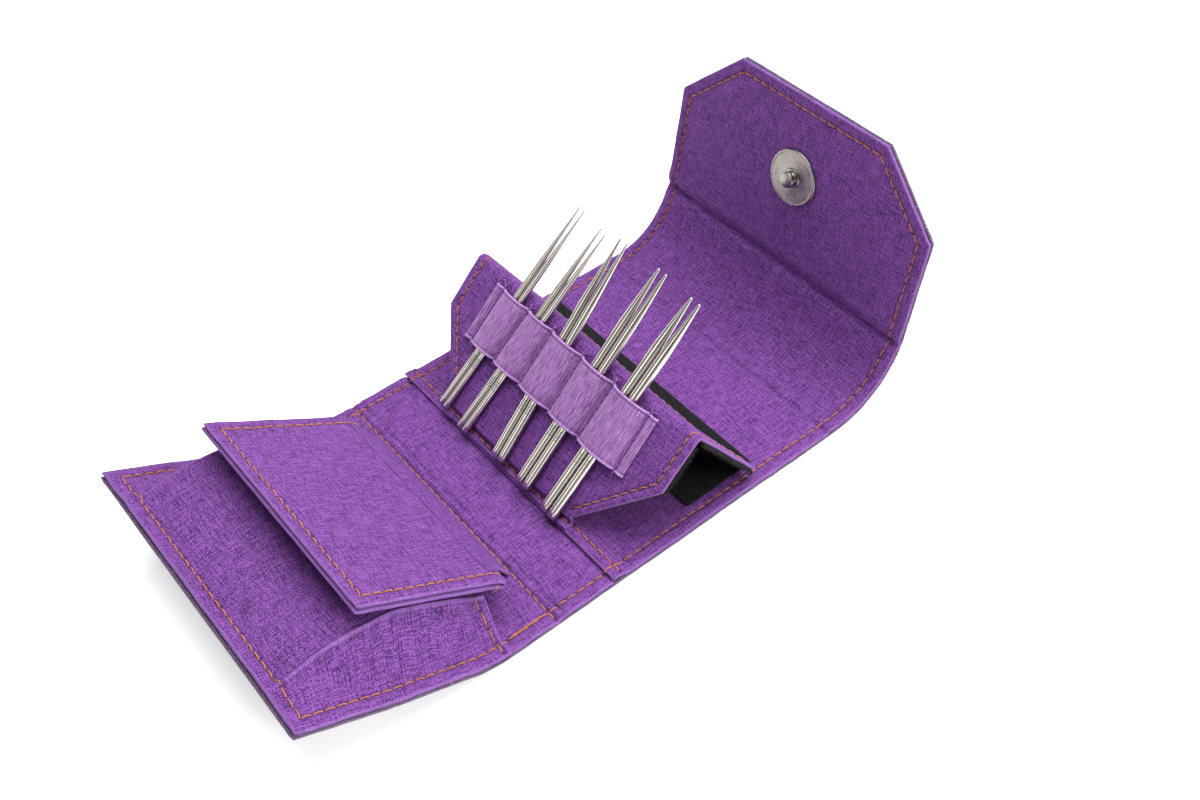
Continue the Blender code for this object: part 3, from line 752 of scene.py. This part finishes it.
def build_cover():
    """Four cloths on the outer side, each over one fold, with the seams' other side."""
    seams = BORDER_STITCHES + FOLD_STITCHES + STRIP_STITCHES
    outside = dict(side=-1, level=-PANEL)
    for number, (bodies, ends) in enumerate(zip(FOLDS, (("start",), (), (), ("end",)))):
        low, high = SPLITS[number:number + 2]
        last = number == 3
        grid = lines(low, high, 1.4, (S_FOLDS[number], SIDE_END) if last else (S_FOLDS[number],))
        case_cloth(f"cover_{number + 1}_{bodies[1 if last else 0]}", number, "cover", grid, cover_lift, ends,
                   PANELS[number][0], cut=CORNERS if last else 0, **outside)
        thread = sew(f"cover_thread_{number + 1}", case, inside(seams, low, high), cover_lift,
                     radius=0.9 * THREAD, **outside)
        bend(thread, *bodies)


# ---------------------------------------------------------------- the pocket and its flap

POCKET_FOLD = 39.0            # y where the pocket's top turns down into its sides
POCKET_FOOT = 49.6            # y where the sides meet the panel
CROWN = ((4.0, 0.3), (7.0, 2.9), (10.3, 5.9), (16.5, 10.0), (23.0, 13.0), (30.0, 15.2), (36.0, 15.9),
         (45.5, 14.6), (55.0, 12.8), (64.8, 10.4), (68.0, 9.0), (71.5, 7.4))    # (from the edge, height)
crown_run = np.linspace(0, MOUTH + 6, 400)
crown_rise = np.interp(crown_run, *np.array(CROWN).T)
kernel = np.exp(-0.5 * np.linspace(-3, 3, 31) ** 2)
crown_rise = np.convolve(np.pad(crown_rise, 15, mode="edge"), kernel / kernel.sum(), "valid")


def pocket_lift(s, y):
    """The bulging pocket: full in the middle, with puckered sides that slope down to the panel."""
    top = np.interp(s, crown_run, crown_rise)
    full = np.clip((top - 0.5) / 3, 0, 1)
    beyond = np.abs(y) - POCKET_FOLD
    side = np.clip(beyond / (POCKET_FOOT - POCKET_FOLD), 0, 1)
    pucker = ripple(s * 1.6, y * 0.35, 13, 21) * np.sin(math.pi * side) * 1.2 * np.clip(top / 6, 0, 1)
    edge = (0.50 * hump(beyond + 0.30, 0.45) - 0.55 * hump(beyond - 1.1, 0.8)) * full
    sag = -0.9 * np.cos(np.clip(y / POCKET_FOLD, -1, 1) * math.pi / 2) * np.clip((top - 4) / 6, 0, 1)
    ear = 1.4 * hump(beyond, 1.3) * hump(s - 3.4, 2.0)
    bulge = top * (1 - side) ** 1.35 + pucker + edge + sag + ear
    dip, dark = seam_dip(s, y, BORDER_STITCHES + HEM_STITCHES)
    h = bulge + 0.30 + 0.12 * ripple(s, y, 14, 5) + edge_puff(y) - dip
    # shade below 0 along the fold edge of the pocket's top: a painted highlight there
    return h, dark - 1.5 * full * hump(beyond + 0.1, 0.36)


def pocket_warp(s, y):
    """Draws the mouth back towards the sides."""
    return s - 2.6 * smooth((np.abs(y) - POCKET_FOLD + 2) / 12) * (s / MOUTH) ** 6


def build_pocket():
    grid = lines(0, MOUTH, 1.2, (BORDER, HEM_SEAM, MOUTH - 0.8))
    piece = cloth("pocket_front", case, grid, pocket_lift, LINING, ("start", "end"), warp=pocket_warp,
                  middle_step=1.2, tuck=1.2, weave_shift=(0.3, 0.1), crease=POCKET_FOLD)
    declare(piece, ("pocket_sheet",), (134, MOUTH + 4),
            "pocket_panel")
    stitches = inside(BORDER_STITCHES, -END, HEM_SEAM) + HEM_STITCHES
    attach(sew("pocket_thread", case, stitches, pocket_lift), "pocket_panel")


def build_flap():
    found = stations("pocket_flap_cloth", CLOTH)
    half = found[0][2]
    x, z = PIVOT["pocket_panel_fold"][::2] + (0.2, 0.3)
    top = Path(found[:-1] + [(x - 0.9, z + 2.0, half), (x, z, half)], soft=1.8)
    knee = top.near(*found[-2][:2])
    sewn = half - FLAP_BORDER
    stitches = stitch_line(((knee + 1.5, sewn), (FLAP_BORDER, sewn),
                            (FLAP_BORDER, -sewn), (knee + 1.5, -sewn)))

    def upper_lift(s, y):
        h = 0.10 * ripple(s, y, 15, 31) + 0.18 * hump(half - np.abs(y) - 1.9, 1.1)
        dip, dark = seam_dip(s, y, stitches)
        return h * smooth((top.length - s) / 6) - dip, dark

    def under_lift(s, y):
        dip, dark = seam_dip(s, y, stitches, depth=0.15, hole=0.2)
        return 0.08 * ripple(s, y, 15, 33) - dip, dark

    def hook_lift(s, y):
        return 0.08 * ripple(s, y, 5, 35), 0 * s

    grid = lines(0, top.length, 1.3, (FLAP_BORDER, knee, knee + 1.6))
    upper = cloth("flap_upper", top, grid, upper_lift, LINING, ("start",), seam=FLAP_BORDER,
                  weave_shift=(0.7, 0.2), width=lambda s: half - 7.5 * smooth((s - knee + 0.2) / 2.4))
    grid = lines(0, knee + 1.2, 1.6, (FLAP_BORDER, knee + 0.2))
    under = cloth("flap_under", top, grid, under_lift, LINING, ("start", "end"), seam=FLAP_BORDER, side=-1,
                  level=-PANEL, weave_shift=(0.9, 0.5), width=lambda s: half + 0.35)
    turn = float(top.heading(knee - 0.6))
    end = top.place(knee - 0.6, 0.0, -PANEL / 2)
    arc = [(1.1 * math.cos(a), 1.1 * math.sin(a)) for a in np.linspace(math.pi / 2, -math.pi / 2, 9)]
    around = [(-3.5, 1.1), (-1.8, 1.1), *arc, (-1.8, -1.1), (-3.5, -1.1)]
    hook_path = Path([(end[0] + u * math.cos(turn) - v * math.sin(turn),
                       end[2] + u * math.sin(turn) + v * math.cos(turn), half) for u, v in around], soft=0.25)
    hook = cloth("flap_hook", hook_path, lines(0, hook_path.length, 0.5), hook_lift, LINING, seam=2,
                 radius=0.3, tuck=0.6, width=lambda s: half + 0.05, weave_shift=(1.1, 0.4))
    declare(hook, (), (81, hook_path.length), "pocket_flap")

    under_threads = Threads()
    for sign in (1, -1):
        line = [top.place(knee - 3.4, sign * (half + 0.35 * bulge), -depth)
                for depth, bulge in ((1.3, 0.2), (1.7, 1.3), (2.3, 1.7), (2.9, 1.5), (3.2, 0.6))]
        under_threads.tube(line, THREAD, (0.0, sign, 0.0))
    under_threads.stitches(top, stitches, under_lift, side=-1, level=-PANEL, radius=0.9 * THREAD)
    sewn = sew("flap_thread", top, stitches, upper_lift), under_threads.build("flap_under_thread", ORANGE)
    for piece in (upper, under, *sewn):
        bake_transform(piece)
    for piece, node in ((upper, "pocket_flap_cloth"), (under, "pocket_flap_under")):
        declare(piece, (node,), (84, top.length + 2))


# ---------------------------------------------------------------- the stand

front = stations("stand_front_cloth", LEAF_CLOTH)
back = stations("stand_back_cloth", LEAF_CLOTH)
RIDGE = PIVOT["stand_ridge_fold"]
NECK, LEAF_HALF = front[0][2], front[-1][2]
FRONT_SLOPE, BACK_SLOPE = (math.atan2(z_end - z, x_end - x)
                           for (x, z, _), (x_end, z_end, _) in ((front[0], front[-1]), (back[0], back[-1])))
HEM = ((2.6, 1.0), (0.7, 1.0), (0.05, 1.35), (-0.05, 1.8), (0.5, 2.25), (2.4, 2.0), (3.0, 2.6))


def stand_path():
    """The stand's outer cloth: hem on the centre panel, front leaf, ridge, back leaf."""
    nose = float(np.interp(STRIP, case.s, case.x))
    hem = [(nose + x, PANEL + z, NECK) for x, z in HEM] + [(front[0][0] + 0.4, front[0][1] + 0.4, NECK)]
    ridge = [(RIDGE[0] + LEAF * math.cos(a), RIDGE[2] + LEAF * math.sin(a), LEAF_HALF)
             for a in np.linspace(FRONT_SLOPE, BACK_SLOPE, 9) + math.pi / 2]
    return Path(hem + front[1:] + ridge + back[-1:], soft=0.45)


stand = stand_path()
S_LEAF = stand.near(*front[0][:2])
S_SHOULDER = stand.near(*front[-2][:2])
S_RIDGE = stand.near(RIDGE[0], RIDGE[2] + LEAF)
S_HALF = (S_SHOULDER + S_RIDGE) / 2 + 2
HEM_STITCH = stand.near(front[0][0] + 0.2, PANEL + 2.2)
loop = offset_loop(((S_LEAF, NECK), (S_SHOULDER, LEAF_HALF), (stand.length, LEAF_HALF),
                    (stand.length, -LEAF_HALF), (S_SHOULDER, -LEAF_HALF), (S_LEAF, -NECK)), LEAF_BORDER)
LEAF_STITCHES = stitch_line(loop, 3.2)
HEM_LINE = cross_seam(HEM_STITCH, NECK - 1, 3.2)


def stand_width(s):
    return np.interp(s, (S_LEAF + 1.2, S_SHOULDER), (NECK, LEAF_HALF))


def stand_lift(s, y):
    """Flat leaves with a padded border, and a rolled hem with a knot at each of its ends."""
    h = 0.10 * ripple(s, y, 13, 41) + 0.16 * hump(stand_width(s) - np.abs(y) - 1.7, 1.0)
    h = h * smooth((s - S_LEAF) / 3)
    roll = 0.22 * ripple(s * 0.1, y, 9, 43) * (1 - smooth((s - HEM_STITCH) / 1.5))
    knot = hump(np.abs(y) - NECK + 2.6, 1.8) * (0.8 + 0.3 * ripple(s, y, 3, 45))
    roll = roll + 0.9 * knot * (1 - smooth((s - HEM_STITCH - 0.5) / 1.6))
    dip, dark = seam_dip(s, y, LEAF_STITCHES + HEM_LINE)
    return h + roll - dip, dark


def settle(piece):
    """Lets the back leaf's front corner flare outwards a little from the ridge to its foot."""
    foot = min(p[1] for p in back)
    for v in piece.data.vertices:
        x, y, z = v.co / MM
        if x > RIDGE[0]:
            share = np.clip((RIDGE[2] - z) / (RIDGE[2] - foot), 0, 1.1)
            v.co.x += 3.0 * MM * share * smooth((-y - 28) / 26)
    return piece


def build_board():
    """The back leaf's board, bent with its cloth."""
    co = corners("stand_back_board")
    x_mid, half, z_mid = co[:, 0].mean(), co[:, 1].max(), co[:, 2].mean()
    ring = sorted({(x, z) for x, _, z in co}, key=lambda p: math.atan2(p[1] - z_mid, p[0] - x_mid))
    places = np.linspace(-half, half, 25)
    faces = [face[::-1] for face in skin(len(places), len(ring))]
    piece = make_mesh("stand_back_card", [(x, y, z) for y in places for x, z in ring], faces, BOARD)
    piece.data.set_sharp_from_angle(angle=math.radians(40))
    stand_in(settle(piece), ("stand_back_board",), "stand_back")


def build_stand():
    """Both leaves' cloth, which meet on the front leaf, and their threads."""
    hem_bend = dict(start=stand.place(HEM_STITCH, 0.0, 0.0) * MM,
                    end=stand.place(S_LEAF + 0.8, 0.0, 0.0) * MM)
    look = dict(seam=LEAF_BORDER, width=stand_width, radius=0.5, tuck=1.2, weave_shift=(0.2, 0.8))
    grid = lines(0, S_HALF, 1.2, (2.5, HEM_STITCH, S_LEAF, S_SHOULDER, S_HALF - 0.5))
    low = cloth("stand_cloth_front", stand, grid, stand_lift, LINING, **look)
    declare(low, ("stand_front_cloth", "stand_hinge_strip"), (106, S_HALF))
    grid = lines(S_HALF, stand.length, 1.2, (S_RIDGE, S_HALF + 0.5, stand.length - LEAF_BORDER))
    high = cloth("stand_cloth_back", stand, grid, stand_lift, LINING, ("end",), **look)
    declare(high, ("stand_back_cloth",), (106, stand.length - S_HALF))
    low_thread = sew("stand_thread_front", stand, inside(LEAF_STITCHES, -END, S_HALF) + HEM_LINE, stand_lift,
                     radius=0.9 * THREAD)
    high_thread = sew("stand_thread_back", stand, inside(LEAF_STITCHES, S_HALF, END), stand_lift,
                      radius=0.9 * THREAD)
    for piece in (low, low_thread):
        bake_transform(piece)
    for piece in (high, high_thread):
        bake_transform(settle(piece))


def fibres(threads, path, places, up, rng, length):
    """Short curled fibres that stand off a cloth at the flat places (s, y, height, outward)."""
    for s, y, h, out in places:
        long = rng.uniform(*length)
        lean = rng.normal(0, 0.5, 2)
        line = [path.place(s + lean[0] * long * t + 0.2 * long * math.sin(4 * t),
                           y + out * long * t * 0.8 + lean[1] * long * t * t * 0.4,
                           h + up * long * t * (1 - 0.5 * t) * abs(rng.normal(0.4, 0.4)))
                for t in (0, 1 / 3, 2 / 3, 1)]
        threads.tube(line, 0.035 * np.array((1, 1, 0.8, 0.5)), (0.3, 0.2, 1.0), sides=3)


def fleece_lift(s, y):
    return 0.10 * ripple(s, y, 3, 51) + 0.06 * ripple(s, y, 1.3, 52) + 0.12 * ripple(s, y, 18, 53), 0 * s


def build_fleece():
    """Black loop cloth under both leaves and the hook patch that the back leaf stands on."""
    rng = np.random.default_rng(7)
    leaves = (("front", [(front[0][0] + 2.6, front[0][1] + 2.6, NECK + 1.2)] + front[2:]),
              ("back", [back[0], back[-1]]))
    for leaf, points in leaves:
        body = "stand_" + leaf
        path = Path(points, soft=0.4)
        grid = lines(0.2, path.length - 0.2, 0.9)
        piece = cloth("fleece_" + leaf, path, grid, fleece_lift, FLEECE, ("start", "end"), side=-1,
                      level=-LEAF + 0.1, radius=0.5, tuck=1.0, middle_step=1.1, wave=0.3,
                      width=lambda s: path.width(s) + 0.15)
        fuzz = Threads()
        places = []
        for _ in range(900):
            s, sign = rng.uniform(0.5, path.length), rng.choice((-1, -1, 1))
            y = sign * (path.width(s) - rng.uniform(0.0, 0.5))
            places.append((s, y, -LEAF + rng.uniform(-0.2, 0.9), sign))
        fibres(fuzz, path, places, -1, rng, (0.4, 1.2))
        if leaf == "back":
            settle(piece)
            places = []
            for _ in range(160):
                y = rng.uniform(-1, 1) * LEAF_HALF * 0.98
                places.append((path.length - 0.3, y, -LEAF + rng.uniform(0.1, 0.8), 0))
            fibres(fuzz, path, places, -1, rng, (0.3, 0.7))
        fuzz = fuzz.build(f"fleece_{leaf}_fibres", LINT_AND_SHEEN)
        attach(settle(fuzz) if leaf == "back" else fuzz, body)
        surface = sum(p.area for p in piece.data.polygons) / MM / MM
        declare(piece, (body + "_lining",), (104, surface / 104),
                body)
    build_patch(rng)


def build_patch(rng):
    low, high = (np.array(corner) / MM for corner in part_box("hook_patch"))
    path = Path([(low[0], PANEL, high[1]), (high[0], PANEL, high[1])], soft=0.4)
    top = high[2] - PANEL

    def lift(s, y):
        return top + 0.08 * ripple(s, y, 2, 61) + 0.05 * ripple(s, y, 1.1, 62), 0 * s

    piece = cloth("hook_patch_pile", path, lines(0, path.length, 0.8), lift, FLEECE, ("start", "end"),
                  radius=0.28, tuck=0.6, middle_step=0.9)
    declare(piece, ("hook_patch",), (2 * high[1], path.length),
            "center_panel")
    fuzz = Threads()
    places = [(rng.uniform(0, path.length), rng.uniform(-1, 1) * high[1] * 0.99, top, rng.uniform(-0.3, 0.3))
              for _ in range(1300)]
    fibres(fuzz, path, places, 1, rng, (0.25, 0.6))
    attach(fuzz.build("hook_patch_fibres", LINT_AND_SHEEN), "center_panel")


# ---------------------------------------------------------------- needles and elastic

LEAF_ORIGIN = np.array((front[0][0], 0, front[0][1]))
LEAF_AXES = np.array(((math.cos(FRONT_SLOPE), 0, math.sin(FRONT_SLOPE)), (0, 1, 0),
                      (-math.sin(FRONT_SLOPE), 0, math.cos(FRONT_SLOPE))))
NEEDLES = sorted(name for name in frame["nodes"] if name.startswith("needle_tip"))


def on_leaf(u, y, n):
    """A point u up the front leaf, y across and n off its face."""
    return LEAF_ORIGIN + np.array((u, y, n)) @ LEAF_AXES


def needle_axis(node):
    """(base centre, direction, profile of (distance, radius)) of a needle tip, read from its CAD node."""
    axis = -unit(np.array(JOINTS[node.replace("needle_tip", "needle") + "_slide"]["axis"], float))
    co = corners(node)
    run = co @ axis - (co @ axis).min()
    centre = co[run < 0.01].mean(0)
    radial = np.linalg.norm((co - centre) - np.outer((co - centre) @ axis, axis), axis=1)
    profile = {}
    for t, r in zip(np.round(run, 2), radial):
        profile[t] = max(profile.get(t, 0), r)
    return centre, axis, sorted(profile.items())


def needle_rings(profile):
    """(distance, radius) of the rings of a tip: bore, base, shank, long taper and rounded point."""
    length, body = profile[-1][0], max(r for _, r in profile)
    depth = next(t for t, r in profile if 4 < t < 12)
    shank = max(t for t, r in profile if r > 0.995 * body)
    blunt, bulge = (0.24, 1.30) if body > 1.4 else (0.20, 1.12)
    rings = [(t, share * body) for t, share in ((depth, 0.02), (depth, 0.55), (0.3, 0.55), (0.0, 0.62),
                                                (0.0, 0.84), (0.06, 0.93), (0.22, 1))]
    rings += [(t, body) for t in np.linspace(2, shank - 1.5, 8)]
    rings += [(shank + t * (length - shank - 1.2 * blunt * body), body * (1 - (1 - blunt) * t ** bulge))
              for t in np.linspace(0, 1, 22)]
    start, radius = rings[-1]
    for angle in math.pi / 12 * np.arange(1, 6):
        rings.append((start + (length - start) * math.sin(angle), radius * math.cos(angle)))
    return rings + [(length, 0.012 * body)], body


def build_needles():
    sides = 28
    facing = np.array((-0.50, -0.42, 0.75))       # the tips' marks are turned this way
    for number, name in enumerate(NEEDLES):
        centre, axis, profile = needle_axis(name)
        rings, body = needle_rings(profile)
        side = unit(np.cross(axis, (0, 1, 0)))
        over = np.cross(axis, side)
        rays = [math.cos(a) * side + math.sin(a) * over for a in math.tau / sides * np.arange(sides)]
        points = [centre + axis * t + r * ray for t, r in rings for ray in rays]
        weave = [(t * MM + 0.11 * number, k / sides, 0) for t, r in rings for k in range(sides)]
        piece = make_mesh(name + "_steel", points, skin(len(rings), sides), STEEL, weave)
        piece.data.set_sharp_from_angle(angle=math.radians(50))
        stand_in(piece, (name,), name)

        ticks = Threads()
        turn = math.atan2(facing @ over, facing @ side)
        for place, reach in enumerate((0.6, 0.35, 0.6, 0.35, 0.6)):
            t = 16.0 + number // 2 * 0.5 + place * 0.75
            ups = [math.cos(a) * side + math.sin(a) * over
                   for a in np.linspace(turn - reach / body, turn + reach / body, 7)]
            ticks.tube([centre + axis * t + 0.985 * body * up for up in ups], 0.13, ups, sides=6)
        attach(ticks.build(name + "_marks", MARK), name)


BAND_REST = 0.42        # height of the band where it is sewn down
BAND_TAB = 2.2          # from the band's end to its first seam
BAND_END = ((3.1, 0.35), (3.05, 0.8), (2.8, 1.25), (2.3, 1.5), (1.7, 1.55), (1.1, 1.35), (0.6, 0.95),
            (0.25, 0.55))    # its folded end: (beyond the seam, height)
BAND_STEPS = 26         # points over each loop


def band_edge(u, rim):
    """One edge of the elastic, across the leaf at u: its seams' places, and its line as (y, height, painted
    shade at its seams).
    """
    loops = []
    for pair in zip(NEEDLES[::2], NEEDLES[1::2]):
        centres = []
        for centre, axis, profile in map(needle_axis, pair):
            base, lean = LEAF_AXES @ (centre - LEAF_ORIGIN), LEAF_AXES @ axis
            centres.append((base + lean * (u - base[0]) / lean[0])[1:])
        loops.append((np.array(centres), max(r for _, r in profile)))
    seams = [rim.max() - BAND_TAB]
    for (centres, radius), (next_centres, next_radius) in zip(loops, loops[1:]):
        seams.append((centres[:, 0].min() - radius + next_centres[:, 0].max() + next_radius) / 2)
    seams.append(rim.min() + BAND_TAB)
    line = [(seams[0] + t, n, 0.0) for t, n in BAND_END]
    for number, (centres, radius) in enumerate(loops):
        left, right = seams[number:number + 2]
        crest = centres[:, 1].max() + radius + 0.75
        middle = centres[:, 0].mean()
        for i in range(1 if number else 0, BAND_STEPS + 1):
            y = left + (right - left) * i / BAND_STEPS
            reach = (left - middle) if y > middle else (middle - right)
            arch = (1 - min(1.0, abs(y - middle) / (reach - 0.45)) ** 2.4) ** 0.60
            line.append((y, BAND_REST + (crest - BAND_REST) * arch, float(i in (0, BAND_STEPS))))
    return seams, np.array(line + [(seams[5] - t, n, 0.0) for t, n in BAND_END[::-1]])


def band_section(width):
    """(across, height, painted shade) round the band: a bead along both edges, and the flat between them."""
    bead = 0.45
    # shade -1 paints a highlight on the rounded beads; shade above 0 paints shade in the grooves beside them
    # and on the underside
    section = [(1 - math.cos(a), math.sin(a), -1.0) for a in np.radians(np.linspace(-90, 90, 7))]
    section += [(1.5, 0.55, -0.6), (2.1, 0.18, 0.55), (2.6, 0.05, 0.35), (3.2, 0.35, 0.0)]
    section = [(x * bead, n * bead, c) for x, n, c in section]
    section += [(f * width, 0.4 * bead, 0.0) for f in np.linspace(0.12, 0.5, 6)]
    section += [(width - x, n, c) for x, n, c in section[-2::-1]]
    return section + [(f * width, -0.5 * bead, 0.3) for f in (0.92, 0.7, 0.5, 0.3, 0.08)]


def build_elastic():
    flat = (corners("elastic_band") - LEAF_ORIGIN) @ LEAF_AXES.T
    u_low, u_high = flat[:, 0].min(), flat[:, 0].max()
    (low_seams, low), (high_seams, high) = (band_edge(u, flat[np.abs(flat[:, 0] - u) < 0.05, 1])
                                            for u in (u_low, u_high))
    middle = (low + high)[:, :2] / 2
    run = np.concatenate(([0], np.cumsum(np.hypot(*np.diff(middle, axis=0).T))))
    tangent = unit(np.gradient(middle, run, axis=0))
    normal = tangent[:, ::-1] * (1, -1)
    normal *= np.where(normal[:, 1:] > 0, 1, -1)
    width = u_high - u_low
    section = band_section(width)
    points, weave, shade = [], [], []
    for i, (x, n, c) in itertools.product(range(len(run)), section):
        share, dark = x / width, low[i, 2]
        y, rise = low[i, :2] * (1 - share) + high[i, :2] * share + normal[i] * n
        points.append(on_leaf(u_low + x, y, rise))
        weave.append((x * MM, run[i] * MM, 0))
        # painted shade where the band is sewn down between its loops
        shade.append(max(c, 0.8 * dark) if c >= 0 else c * (1 - dark))
    piece = make_mesh("elastic_loops", points, skin(len(run), len(section)), ELASTIC, weave, shade)
    declare(piece, ("elastic_band",), (width, run[-1]),
            "stand_front")

    threads = Threads()
    rng = np.random.default_rng(17)
    up = LEAF_AXES[2]
    for low_y, high_y in zip(low_seams, high_seams):
        for k in range(8):
            a, b = (k + 0.08) / 8, (k + 0.92) / 8
            edge = 0.1 * (b - a)
            threads.tube([on_leaf(u_low + width * t, low_y * (1 - t) + high_y * t, BAND_REST + 0.32 + rise)
                          for t, rise in ((a, -0.25), (a + edge, 0.2), ((a + b) / 2, 0.32), (b - edge, 0.2),
                                          (b, -0.25))], 0.28, up)
        for sign, u, y in ((-1, u_low, low_y), (1, u_high, high_y)):
            for _ in range(5):
                bend_y, bend_u = rng.normal(0, 0.9), sign * rng.uniform(0.7, 2.2)
                line = [on_leaf(u - sign * 0.4, y + rng.normal(0, 0.15), BAND_REST + 0.5)]
                line += [on_leaf(u + bend_u * share_u, y + bend_y * share_y, rise)
                         for share_u, share_y, rise in ((0.5, 0.4, 0.75), (1, 1, 0.45), (0.8, 1.5, 0.25))]
                threads.tube(line, (0.17, 0.17, 0.16, 0.13), up, sides=6)
    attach(threads.build("elastic_thread", VIOLET), "stand_front")


# ---------------------------------------------------------------- the snap

def turned_piece(name, node, profile, place, sides, sharp, dent=None):
    """A nickel piece turned about its Z; dent(radius, angle) lowers its faces for pressed marks."""
    points = []
    for (r, z), k in itertools.product(profile, range(sides)):
        a = math.tau * k / sides
        points.append(place @ Vector((r * math.cos(a), r * math.sin(a), z - (dent(r, a) if dent else 0.0))))
    piece = make_mesh(name, points, skin(len(profile), sides, capped=profile[0] != profile[-1]), NICKEL)
    piece.data.set_sharp_from_angle(angle=math.radians(sharp))
    stand_in(piece, (node,), "closing_flap")


def build_snap():
    """The disc with its ring of pressed marks, and the stud that stands on it."""
    disc = corners("snap_disc")
    centre = disc.mean(0)
    normal = np.linalg.eigh(np.cov((disc - centre).T))[1][:, 0]
    normal *= 1 if normal[0] < 0 else -1
    radius = float(np.max(np.linalg.norm(disc - centre, axis=1)))
    top = float(np.ptp((disc - centre) @ normal))
    base = centre - normal * top / 2
    across = np.array((0.0, 1.0, 0.0))
    place = Matrix((across, np.cross(normal, across), normal)).transposed().to_4x4()
    place.translation = base

    def dent(r, a):
        marks = max(0.0, math.sin(a * 33)) ** 2 * (0.5 + 0.5 * math.sin(a * 3 + 1))
        return -0.05 * hump(r - 0.76 * radius, 0.6) * marks if r > 0.6 * radius else 0.0

    face = [(r * radius, top - 0.02) for r in (0.88, 0.84, 0.80, 0.76, 0.72, 0.68, 0.64)]
    plate = [(1.5, 0.05), (radius * 0.97, 0.05), (radius, 0.2), (radius, 0.45), (0.985 * radius, top - 0.1),
             (0.955 * radius, top + 0.06), (0.925 * radius, top), *face, (0.45 * radius, top + 0.05),
             (0.38 * radius, top + 0.10), (1.5, top + 0.10), (1.5, 0.05)]
    turned_piece("snap_disc_plate", "snap_disc", plate, place, 132, 55, dent)

    height = float(np.max((corners("snap_stud") - base) @ normal))
    low = ((1.15, 0.1), (3.2, 0.12), (3.3, 0.35), (3.1, 0.55), (2.15, 0.65), (2.05, 0.9))
    high = ((2.15, 1.5), (2.5, 1.2), (2.6, 1.0), (2.6, 0.30), (2.5, 0.08), (2.38, 0), (0.05, 0))
    pin = [(1.15, -0.4)] + [(r, top + z) for r, z in low] + [(r, height - z) for r, z in high]
    turned_piece("snap_stud_pin", "snap_stud", pin, place, 64, 38)


def paint(nodes, mat):
    for name in nodes:
        mesh = frame["nodes"][name].data
        mesh.materials.clear()
        mesh.materials.append(mat)


# ---------------------------------------------------------------- floor, light, camera

def build_stage():
    size = 12000
    floor = make_mesh("floor", [(-size, -size, 0), (size, -size, 0), (size, size, 0), (-size, size, 0)],
                      [(0, 1, 2, 3)], floor_material())
    world = bpy.data.worlds.new("soft_white")
    bpy.context.scene.world = world
    sky = Material("soft_white", world, "Background")
    rise = sky.parts(sky.add("TexCoord").outputs["Generated"])[2]
    sky.set(Color=sky.mix(sky.ramp(rise, 0.05, 0.42), (1.0, 1.0, 1.0), (0.12, 0.122, 0.128)), Strength=1.0)
    for name, place, width, power in (("top", (0.30, 0.12, 1.2), 1.3, 35),
                                      ("side", (0.55, -0.95, 0.6), 0.6, 13),
                                      ("strip", (-1.0, 0.05, 0.68), 0.62, 2.2)):
        data = bpy.data.lights.new(name, "AREA")
        data.size = width
        data.energy = power
        light = bpy.data.objects.new(name, data)
        light.location = place
        light.rotation_mode = "QUATERNION"
        light.rotation_quaternion = (-Vector(place)).to_track_quat("-Z", "Y")
        bpy.context.scene.collection.objects.link(light)


def build_camera():
    """The camera looks down on the open case from the front left."""
    data = bpy.data.cameras.new("camera")
    data.lens = 40.7
    data.sensor_width = 36
    camera = bpy.data.objects.new("camera", data)
    forward = Vector((0.40530, 0.54417, -0.73459)).normalized()
    right = Vector((0.77589, -0.62971, -0.03839))
    right = (right - forward * right.dot(forward)).normalized()
    turn = Matrix((right, right.cross(forward), -forward)).transposed().to_4x4()
    turn.translation = Vector((-0.17808, -0.23290, 0.32153))
    camera.matrix_world = turn
    bpy.context.scene.collection.objects.link(camera)
    bpy.context.scene.camera = camera


build_lining()
build_cover()
build_pocket()
build_flap()
build_stand()
build_board()
build_fleece()
build_needles()
build_elastic()
build_snap()
paint([n for n in frame["nodes"] if n.endswith("board") and n != "stand_back_board"], BOARD)
paint(("snap_socket", "snap_washer"), nickel_material("nickel_back", 0.22, 0.4))
build_stage()
build_camera()
bpy.context.scene.view_settings.view_transform = "Standard"
